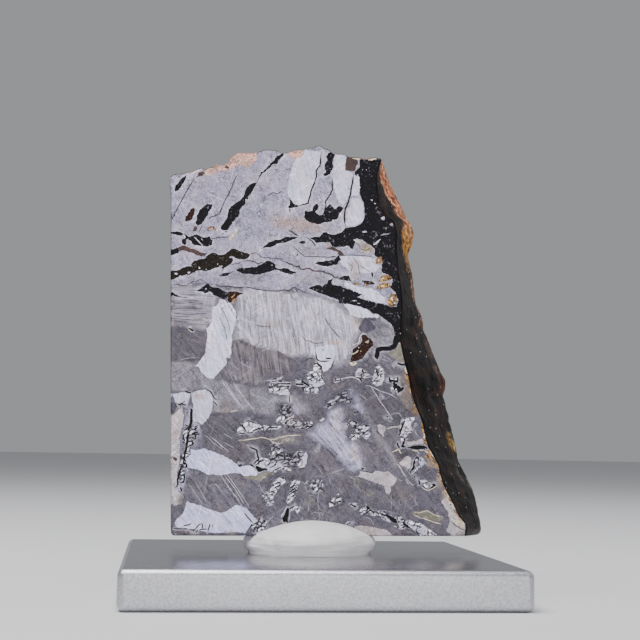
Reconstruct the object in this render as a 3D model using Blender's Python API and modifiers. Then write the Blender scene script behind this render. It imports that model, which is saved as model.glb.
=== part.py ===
"""Iron meteorite slice, held upright in a pat of white putty on a small aluminium plate.

Three pieces: the plate, the putty pressed onto it, and the slice that stands in the putty.
The origin is the centre of the plate's underside. +X runs to the right of someone who faces
the etched front of the slice, +Y runs away from them, and +Z is up.
"""

import math

import bmesh
import bpy
from mathutils import Vector, noise

MM = 0.001

# Plate: a sawn length of flat aluminium bar
PLATE_SIDE = 50.0
PLATE_THICKNESS = 5.0
PLATE_EDGE_RADIUS = 0.9
PLATE_EDGE_SEGMENTS = 3

# Slice: the place of its own corner, where the left and lower sawn edges would meet
SLICE_THICKNESS = 6.5
SLICE_LEFT = -20.0
SLICE_BOTTOM = PLATE_THICKNESS + 2.4
SAWN_EDGE_BEVEL = 0.14

# Putty: a squashed pebble, widest a little above the plate and drawn in at its foot
PUTTY_CENTRE = (0.15, -0.7)
PUTTY_HALF_WIDTH = 9.05
PUTTY_HALF_DEPTH = 6.8
PUTTY_WAIST_HEIGHT = 1.5
PUTTY_TOP_HEIGHT = 4.85
PUTTY_FOOT_SHARE = 0.9
PUTTY_UNDERSIDE_SWELL = 0.9
PUTTY_FOOT_CUT = 1.25
PUTTY_DENT_SIZE = 5.0
PUTTY_DENT_DEPTH = 0.28
PUTTY_SIDES = 44
PUTTY_RINGS = 22
CLEARANCE = 0.3
SLOT_HEIGHT = 12.0
SLOT_LENGTH = 30.0

# Outline of the front face in millimetres, right of the slice's corner and above it.
# The left and lower edges are sawn straight. The top is the meteorite's natural surface.
LEFT_EDGE = [(1.75, 0.02), (1.4, 0.12), (1.26, 0.5), (1.1, 6.0), (0.8, 17.0), (0.5, 28.0),
             (0.2, 39.5), (0.02, 46.8), (-0.2, 47.9), (-0.12, 48.45)]
TOP_EDGE = [(-0.12, 48.45), (0.12, 48.78), (0.65, 49.0), (1.5, 49.1), (2.2, 49.25), (2.8, 49.4),
            (3.4, 49.72), (4.1, 50.0), (4.4, 49.92), (4.55, 49.65), (5.0, 50.0), (5.6, 50.15),
            (6.0, 50.48), (6.25, 50.6), (6.55, 50.4), (7.3, 50.5), (7.8, 50.85), (8.0, 51.2),
            (8.1, 51.55), (8.6, 52.0), (9.05, 52.27), (10.0, 52.3), (11.3, 52.35), (12.0, 52.6),
            (12.9, 52.9), (14.1, 52.9), (14.6, 52.77), (15.0, 52.52), (15.6, 52.55), (16.2, 52.72),
            (16.8, 53.0), (17.6, 53.1), (18.2, 53.15), (18.5, 53.3), (19.0, 53.45), (19.6, 53.5),
            (20.0, 53.75), (20.4, 53.8), (20.8, 53.62), (21.1, 53.4), (21.5, 53.35), (21.9, 53.1),
            (22.2, 52.8), (22.6, 52.7), (23.2, 52.76), (23.8, 52.7), (24.1, 52.55), (24.6, 52.36),
            (25.3, 52.35), (25.9, 52.35), (26.4, 52.15), (27.0, 52.15), (27.5, 52.3), (28.0, 52.4),
            (28.3, 52.45), (28.6, 52.32), (28.9, 52.3), (29.1, 52.1)]
# Where the front face ends and the dark crust slopes away from it, from top to bottom
CRUST_FRONT = [(29.1, 52.1), (28.75, 51.2), (28.45, 50.0), (28.5, 48.5), (28.6, 47.0),
               (28.9, 45.6), (29.9, 44.3), (31.0, 43.5), (31.35, 42.2), (31.3, 40.0), (31.6, 38.0),
               (31.8, 36.0), (32.05, 34.0), (32.25, 32.0), (32.2, 30.0), (32.05, 28.4),
               (32.1, 26.8), (32.5, 25.0), (33.0, 23.0), (33.4, 21.5), (33.7, 19.8), (34.2, 18.4),
               (34.8, 17.0), (35.2, 16.1), (35.5, 14.9), (35.8, 13.5), (36.2, 12.3), (37.0, 11.0),
               (37.6, 9.9), (37.9, 8.5), (38.3, 7.3), (38.9, 6.1), (39.4, 5.2), (39.9, 4.2),
               (40.4, 3.2), (41.0, 2.5), (41.4, 1.9), (41.45, 1.1), (41.3, 0.28)]
# The widest line of the crust, which lies near the back face, from top to bottom
CRUST_RIM = [(29.95, 53.2), (30.3, 52.7), (30.6, 52.0), (31.1, 50.6), (31.6, 49.5), (32.2, 48.5),
             (32.8, 47.2), (33.4, 46.3), (33.8, 45.3), (34.2, 44.3), (34.7, 43.3), (34.9, 42.2),
             (34.8, 41.3), (34.4, 40.5), (34.2, 39.6), (34.4, 38.3), (34.7, 37.0), (34.9, 35.8),
             (35.1, 34.6), (35.3, 33.0), (35.8, 31.8), (36.2, 30.9), (36.5, 29.5), (36.8, 28.3),
             (37.4, 26.5), (38.0, 25.0), (38.6, 23.8), (39.2, 22.6), (39.7, 21.5), (39.75, 20.6),
             (39.35, 19.6), (39.7, 18.2), (40.0, 17.0), (40.3, 15.3), (40.8, 14.0), (41.2, 12.5),
             (41.5, 11.0), (42.2, 9.5), (43.0, 7.8), (43.9, 6.3), (44.35, 4.8), (44.5, 3.4),
             (44.7, 2.2), (44.75, 1.2), (44.6, 0.55), (43.9, 0.2)]
BOTTOM_EDGE = [(30.0, 0.2), (16.0, 0.1), (1.75, 0.02)]

# Points along each stretch of the outline, and where each ring lies between front and back
LEFT_STEPS = 16
TOP_STEPS = 84
CRUST_STEPS = 90
BOTTOM_STEPS = 12
RING_DEPTHS = [0.0, 0.035, 0.12, 0.22, 0.33, 0.44, 0.55, 0.66, 0.76, 0.85, 0.93, 1.0]
# Share of the way from the front edge of the crust to its rim, at given depths
CRUST_PROFILE = [(0.0, 0.0), (0.035, 0.06), (0.3, 0.42), (0.6, 0.78), (0.76, 0.94), (0.85, 1.0),
                 (0.93, 0.985), (1.0, 0.93)]

# The natural surface: rounded lumps, and ledges that run along the edge. Both die out at the
# saw cuts, over a share of the thickness at the faces and over a few points at the corners.
TOP_RISE_AT_BACK = 0.35
LUMP_SIZE = 2.8
LUMP_HEIGHT = 0.36
LEDGE_WIDTH = 1.3
LEDGE_LENGTH = 8.0
LEDGE_HEIGHT = 0.2
FRONT_FADE = 0.12
BACK_FADE = 0.1
CORNER_FADE = 5
CORNER_BLEND = 8


def clear_scene():
    """Removes every object, so that the part is all that is left."""
    for thing in list(bpy.data.objects):
        bpy.data.objects.remove(thing)


def finish(name, colour, metallic, roughness):
    """A plain material for one piece."""
    made = bpy.data.materials.new(name)
    made.use_nodes = True
    shader = made.node_tree.nodes["Principled BSDF"]
    shader.inputs["Base Color"].default_value = (*colour, 1.0)
    shader.inputs["Metallic"].default_value = metallic
    shader.inputs["Roughness"].default_value = roughness
    return made


def add_object(name, shape, home):
    """An object, in its collection, with the mesh that a bmesh holds."""
    mesh = bpy.data.meshes.new(name)
    shape.to_mesh(mesh)
    shape.free()
    thing = bpy.data.objects.new(name, mesh)
    home.objects.link(thing)
    return thing


def shade(thing, crease_degrees):
    """Smooth shading, with edges sharper than the crease angle left sharp."""
    thing.data.shade_smooth()
    thing.data.set_sharp_from_angle(angle=math.radians(crease_degrees))


def block(name, size, centre, home):
    """A box of a size in millimetres around a centre."""
    shape = bmesh.new()
    bmesh.ops.create_cube(shape, size=1.0)
    bmesh.ops.scale(shape, verts=shape.verts, vec=Vector(size) * MM)
    bmesh.ops.translate(shape, verts=shape.verts, vec=Vector(centre) * MM)
    return add_object(name, shape, home)


def along(points, steps):
    """Evenly spaced points along a line through the given ones, without its last point."""
    lengths = [math.dist(a, b) for a, b in zip(points, points[1:])]
    found = []
    for step in range(steps):
        wanted = sum(lengths) * step / steps
        index = 0
        while index < len(lengths) - 1 and wanted > lengths[index]:
            wanted -= lengths[index]
            index += 1
        share = min(1.0, wanted / lengths[index])
        found.append(Vector(points[index]).lerp(Vector(points[index + 1]), share))
    return found


def crust_share(depth):
    """How much of the crust's slope is reached at this depth."""
    for (near, low), (far, high) in zip(CRUST_PROFILE, CRUST_PROFILE[1:]):
        if depth <= far:
            return low + (high - low) * (depth - near) / (far - near)
    return CRUST_PROFILE[-1][1]


def relief(place, depth):
    """Height of the natural surface's lumps and ledges over its plain form, 0 at the saw cuts."""
    y = depth * SLICE_THICKNESS
    lump = noise.fractal(Vector((place.x, y, place.y)) / LUMP_SIZE, 0.9, 2.1, 3)
    run = (place.x + place.y) / LEDGE_LENGTH
    ledge = noise.noise(Vector((run, y / LEDGE_WIDTH, 7.5)))
    fade = min(1.0, depth / FRONT_FADE, (1.0 - depth) / BACK_FADE)
    return (LUMP_HEIGHT * lump + LEDGE_HEIGHT * ledge) * fade


def slice_ring(depth):
    """The slice's outline at a depth from 0, its front face, to 1, its back face."""
    bevel = SAWN_EDGE_BEVEL if depth in (RING_DEPTHS[0], RING_DEPTHS[-1]) else 0.0
    share = crust_share(depth)
    front = along(CRUST_FRONT, CRUST_STEPS)
    rim = along(CRUST_RIM, CRUST_STEPS)
    corner_shift = (rim[0] - front[0]) * share
    ring = [p + Vector((bevel, 0.0)) for p in along(LEFT_EDGE, LEFT_STEPS)]
    for index, p in enumerate(along(TOP_EDGE, TOP_STEPS)):
        to_corner = TOP_STEPS - index
        rise = TOP_RISE_AT_BACK * depth + relief(p, depth)
        rise *= min(1.0, index / CORNER_FADE, to_corner / CORNER_FADE)
        blend = max(0.0, 1.0 - to_corner / CORNER_BLEND)
        ring.append(p + Vector((0.0, rise - bevel)) + corner_shift * blend)
    for index, (near, far) in enumerate(zip(front, rim)):
        p = near.lerp(far, share)
        fade = min(1.0, index / CORNER_FADE, (CRUST_STEPS - index) / CORNER_FADE)
        ring.append(p + Vector((relief(p, depth) * fade - bevel, 0.0)))
    right_end = Vector(CRUST_FRONT[-1]).lerp(Vector(CRUST_RIM[-1]), share)
    for p in along([tuple(right_end), *BOTTOM_EDGE], BOTTOM_STEPS):
        ring.append(p + Vector((0.0, bevel)))
    return ring


def build_slice(home):
    """The meteorite: a loft from its front outline to its back one, closed by the sawn faces."""
    shape = bmesh.new()
    rings = []
    for depth in RING_DEPTHS:
        y = SLICE_THICKNESS * (depth - 0.5)
        ring = [Vector((SLICE_LEFT + p.x, y, SLICE_BOTTOM + p.y)) * MM for p in slice_ring(depth)]
        rings.append([shape.verts.new(place) for place in ring])
    count = len(rings[0])
    for near, far in zip(rings, rings[1:]):
        for i in range(count):
            j = (i + 1) % count
            shape.faces.new((near[i], near[j], far[j], far[i]))
    cuts = [shape.faces.new(rings[0][::-1]), shape.faces.new(rings[-1])]
    shape.normal_update()
    bmesh.ops.triangulate(shape, faces=cuts)
    bmesh.ops.recalc_face_normals(shape, faces=shape.faces)
    meteorite = add_object("meteorite", shape, home)
    shade(meteorite, 35.0)
    meteorite.data.materials.append(finish("etched_iron", (0.42, 0.42, 0.45), 0.8, 0.45))


def build_plate(home):
    """The plate: a block with softly rounded edges."""
    size = (PLATE_SIDE, PLATE_SIDE, PLATE_THICKNESS)
    plate = block("plate", size, (0.0, 0.0, PLATE_THICKNESS / 2), home)
    rounding = plate.modifiers.new("rounded edges", "BEVEL")
    rounding.width = PLATE_EDGE_RADIUS * MM
    rounding.segments = PLATE_EDGE_SEGMENTS
    rounding.limit_method = "NONE"
    plate.data.materials.append(finish("aluminium", (0.78, 0.79, 0.81), 1.0, 0.35))


def putty_place(point):
    """Where a point of a ball of radius 1 goes on the putty, in millimetres."""
    x, y, z = point
    below = max(0.0, -z)
    reach = math.hypot(x, y)
    foot = 1.0 - (1.0 - PUTTY_FOOT_SHARE) * below
    spread = 1.0 + PUTTY_UNDERSIDE_SWELL * below
    if reach > 0.0:
        spread = min(spread * foot, foot / reach)
    spread += PUTTY_DENT_DEPTH / PUTTY_HALF_DEPTH * noise.noise(point * PUTTY_DENT_SIZE / 2)
    if z > 0:
        height = PUTTY_WAIST_HEIGHT + z * (PUTTY_TOP_HEIGHT - PUTTY_WAIST_HEIGHT)
    else:
        drop = PUTTY_WAIST_HEIGHT - CLEARANCE
        height = PUTTY_WAIST_HEIGHT + max(-1.0, z * PUTTY_FOOT_CUT) * drop
    return Vector((PUTTY_CENTRE[0] + x * spread * PUTTY_HALF_WIDTH,
                   PUTTY_CENTRE[1] + y * spread * PUTTY_HALF_DEPTH,
                   PLATE_THICKNESS + height))


def build_putty(home, cutter):
    """The putty: a pebble with a flat foot and a slot where the slice is pressed in."""
    shape = bmesh.new()
    bmesh.ops.create_uvsphere(shape, u_segments=PUTTY_SIDES, v_segments=PUTTY_RINGS, radius=1.0)
    for corner in shape.verts:
        corner.co = putty_place(corner.co) * MM
    putty = add_object("putty", shape, home)
    shade(putty, 40.0)
    slot = putty.modifiers.new("slot for the slice", "BOOLEAN")
    slot.operation = "DIFFERENCE"
    slot.object = cutter
    putty.data.materials.append(finish("white_putty", (0.86, 0.84, 0.82), 0.0, 0.55))


def build_slot_cutter(home):
    """A block that clears the foot of the slice all round, for the putty's slot."""
    size = (SLOT_LENGTH, SLICE_THICKNESS + 2 * CLEARANCE, SLOT_HEIGHT)
    middle = SLICE_BOTTOM - CLEARANCE + SLOT_HEIGHT / 2
    cutter = block("slot_cutter", size, (0.0, 0.0, middle), home)
    cutter.hide_render = True
    cutter.display_type = "WIRE"
    return cutter


def main():
    """Builds the three pieces."""
    clear_scene()
    part = bpy.data.collections.new("meteorite_slice_on_plate")
    cutters = bpy.data.collections.new("cutters")
    bpy.context.scene.collection.children.link(part)
    bpy.context.scene.collection.children.link(cutters)
    build_plate(part)
    build_putty(part, build_slot_cutter(cutters))
    build_slice(part)


main()
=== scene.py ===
import logging
import math
from collections.abc import Callable
from dataclasses import dataclass, field
from enum import Enum

import bmesh
import bpy
import numpy as np
from mathutils import Matrix, Vector, geometry, noise


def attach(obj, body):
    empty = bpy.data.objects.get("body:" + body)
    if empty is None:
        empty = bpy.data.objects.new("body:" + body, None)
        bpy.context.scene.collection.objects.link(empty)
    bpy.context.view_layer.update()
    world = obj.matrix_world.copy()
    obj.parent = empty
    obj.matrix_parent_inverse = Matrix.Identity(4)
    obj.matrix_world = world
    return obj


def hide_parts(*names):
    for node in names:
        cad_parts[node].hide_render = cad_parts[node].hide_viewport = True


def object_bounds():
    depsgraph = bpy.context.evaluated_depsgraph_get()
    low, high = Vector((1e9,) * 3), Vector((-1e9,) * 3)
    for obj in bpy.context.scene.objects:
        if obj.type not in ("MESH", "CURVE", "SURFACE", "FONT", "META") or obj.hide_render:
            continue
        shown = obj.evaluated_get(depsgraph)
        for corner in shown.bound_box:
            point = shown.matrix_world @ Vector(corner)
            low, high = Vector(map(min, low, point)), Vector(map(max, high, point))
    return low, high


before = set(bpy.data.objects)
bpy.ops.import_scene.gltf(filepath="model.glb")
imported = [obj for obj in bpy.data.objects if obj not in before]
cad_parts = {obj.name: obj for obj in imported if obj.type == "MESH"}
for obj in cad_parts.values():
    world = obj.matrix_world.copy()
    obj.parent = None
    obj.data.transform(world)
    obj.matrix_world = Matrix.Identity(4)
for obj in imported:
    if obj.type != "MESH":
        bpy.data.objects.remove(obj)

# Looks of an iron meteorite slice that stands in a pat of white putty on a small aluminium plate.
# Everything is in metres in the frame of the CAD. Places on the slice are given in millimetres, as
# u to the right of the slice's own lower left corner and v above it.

CAD_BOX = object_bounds()
MM = 0.001
PIXELS = 640
# Fixes the vector noise, which Blender otherwise seeds from the clock
NOISE_SEED = 5
LOG = logging.getLogger("meteorite_slice")


def linear(code: str) -> tuple[float, float, float, float]:
    """Turns an sRGB hex code into a linear colour.

    Args:
        code: Six hex digits after a #.

    Returns:
        Red, green, blue and a full alpha.
    """
    parts = [int(code[i:i + 2], 16) / 255 for i in (1, 3, 5)]
    made = [c / 12.92 if c <= 0.04045 else ((c + 0.055) / 1.055) ** 2.4 for c in parts]
    return (made[0], made[1], made[2], 1.0)


def rgb(code: str) -> np.ndarray:
    """A hex code's linear red, green and blue."""
    return np.array(linear(code)[:3])


def add_node(tree: bpy.types.NodeTree, kind: str, inputs: dict | None = None, **settings) -> bpy.types.Node:
    """Adds one shader node. Inputs 1 to 4 of a MapRange are its range in and its range out.

    Args:
        tree: The material's node tree.
        kind: The shader node's kind, such as TexNoise.
        inputs: For each input, by name or number, its value, or the output that feeds it.
        settings: The node's own properties.

    Returns:
        The new node.
    """
    made = tree.nodes.new(f"ShaderNode{kind}")
    for name, value in settings.items():
        setattr(made, name, value)
    for name, value in (inputs or {}).items():
        if isinstance(value, bpy.types.NodeSocket):
            tree.links.new(value, made.inputs[name])
        else:
            made.inputs[name].default_value = value
    return made


def new_material(name: str) -> tuple[bpy.types.Material, bpy.types.NodeTree, bpy.types.Node]:
    """Starts a material.

    Args:
        name: The material's name.

    Returns:
        The material, its node tree and its Principled shader.
    """
    made = bpy.data.materials.new(name)
    made.use_nodes = True
    return made, made.node_tree, made.node_tree.nodes["Principled BSDF"]


def per_mm(size: float) -> float:
    """Scale of a pattern whose grains are this many millimetres wide, in object coordinates."""
    return 1.0 / (size * MM)


# Marks on the sawn and etched faces


@dataclass(frozen=True)
class Look:
    """How one mineral, or one cut of it, shows on the etched face.

    tint is its colour, metal how metallic it is, streak how strong its brushed lines are, lean
    their angle in degrees clockwise from upright, mottle how strong its small grains are, sunk how
    deep it lies in millimetres, and script how much of it is clusters of small outlined crystals.
    Soft looks run into each other without an edge.
    """

    tint: str
    metal: float = 0.8
    streak: float = 0.25
    lean: float = -18.0
    mottle: float = 0.3
    sunk: float = 0.0
    soft: bool = True
    script: float = 0.0


class Mineral(Enum):
    """The minerals and cuts that the etched face shows."""

    GREY = Look("#67636F", lean=-30.0, mottle=0.8)
    PALE = Look("#A39EB6", streak=0.15, mottle=1.0)
    BRUSHED = Look("#B0ABBC", streak=0.75, lean=-15.0, mottle=0.5)
    FADED = Look("#918B99", streak=0.7, lean=84.0, mottle=0.5)
    PLUM = Look("#6C666F", streak=0.75, lean=-12.0, mottle=0.6)
    SLATE = Look("#5C5862", streak=0.35, lean=-42.0, mottle=0.8)
    DUSK = Look("#696571", streak=0.3, lean=-38.0, mottle=0.9)
    SMOKE = Look("#4C4855", streak=0.2, mottle=0.5, soft=False)
    HAZE = Look("#8A8591", streak=0.3, lean=-35.0, mottle=0.9)
    LAVENDER = Look("#AFABCA", streak=0.8, lean=-34.0, mottle=0.7)
    KAMACITE = Look("#D2CFE8", streak=0.3, lean=-20.0, mottle=0.45, soft=False)
    # Bluish white plates: kamacite tone with a painted highlight, the bluish reflection of the light, in
    # the colour
    BLUISH_SHEEN = Look("#CBCBF6", streak=0.35, lean=-40.0, mottle=0.5, soft=False)
    SILVER = Look("#CCC9DE", streak=0.2, lean=62.0, mottle=0.6, soft=False, script=0.6)
    SCRIPT = Look("#7E7A88", lean=80.0, mottle=0.5, script=1.0)
    RUNES = Look("#85818F", lean=-10.0, mottle=0.5, script=1.0)
    TALLY = Look("#7E7A88", lean=52.0, mottle=0.5, script=1.0)
    CHAIN = Look("#85818F", lean=35.0, mottle=0.5, script=1.0)
    TAN = Look("#BBB2BA", streak=0.15, mottle=0.8, soft=False)
    OLIVE = Look("#807C72", streak=0.2, lean=60.0, mottle=0.8, soft=False)
    CREAM = Look("#E6D9C2", metal=0.6, mottle=1.0, soft=False)
    GOLD = Look("#A88050", metal=0.5, mottle=1.4, soft=False, script=0.5)
    ROSE = Look("#DDAEA2", metal=0.3, streak=0.0, mottle=1.4, soft=False)
    BROWN = Look("#452E2A", metal=0.2, mottle=1.6, soft=False)
    RUSSET = Look("#2C160F", metal=0.0, mottle=0.9, sunk=0.03, soft=False)
    OXIDE = Look("#100E14", metal=0.0, streak=0.0, mottle=1.0, sunk=0.05, soft=False)
    SOOT = Look("#1E1810", metal=0.0, streak=0.0, mottle=0.8, sunk=0.05, soft=False)
    CRACK = Look("#0E0D10", metal=0.0, streak=0.0, mottle=0.2, sunk=0.02, soft=False)
    SEAM = Look("#2C2830", metal=0.4, streak=0.0, mottle=0.2, sunk=0.01, soft=False)
    FLECK = Look("#C0BCCC", streak=0.0, mottle=0.8, soft=False)
    SCRATCH = Look("#BDB9C9", streak=0.0, mottle=0.8, soft=False)
    HAIRLINE = Look("#96929F", streak=0.0, mottle=0.6, soft=False)


@dataclass(frozen=True)
class Patches:
    """Closed patches of one mineral. Patches are divided by ; and points by spaces."""

    mineral: Mineral
    text: str
    wobble: float = 0.07


@dataclass(frozen=True)
class Lines:
    """Thin lines of one mineral, each a width, then its points. Lines are divided by ;"""

    mineral: Mineral
    text: str
    wobble: float = 0.03


@dataclass(frozen=True)
class Stain:
    """A soft coloured spot: its centre, its two half sizes, its turn in degrees and its strength."""

    u: float
    v: float
    long: float
    short: float
    turn: float
    tint: str
    strength: float


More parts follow.
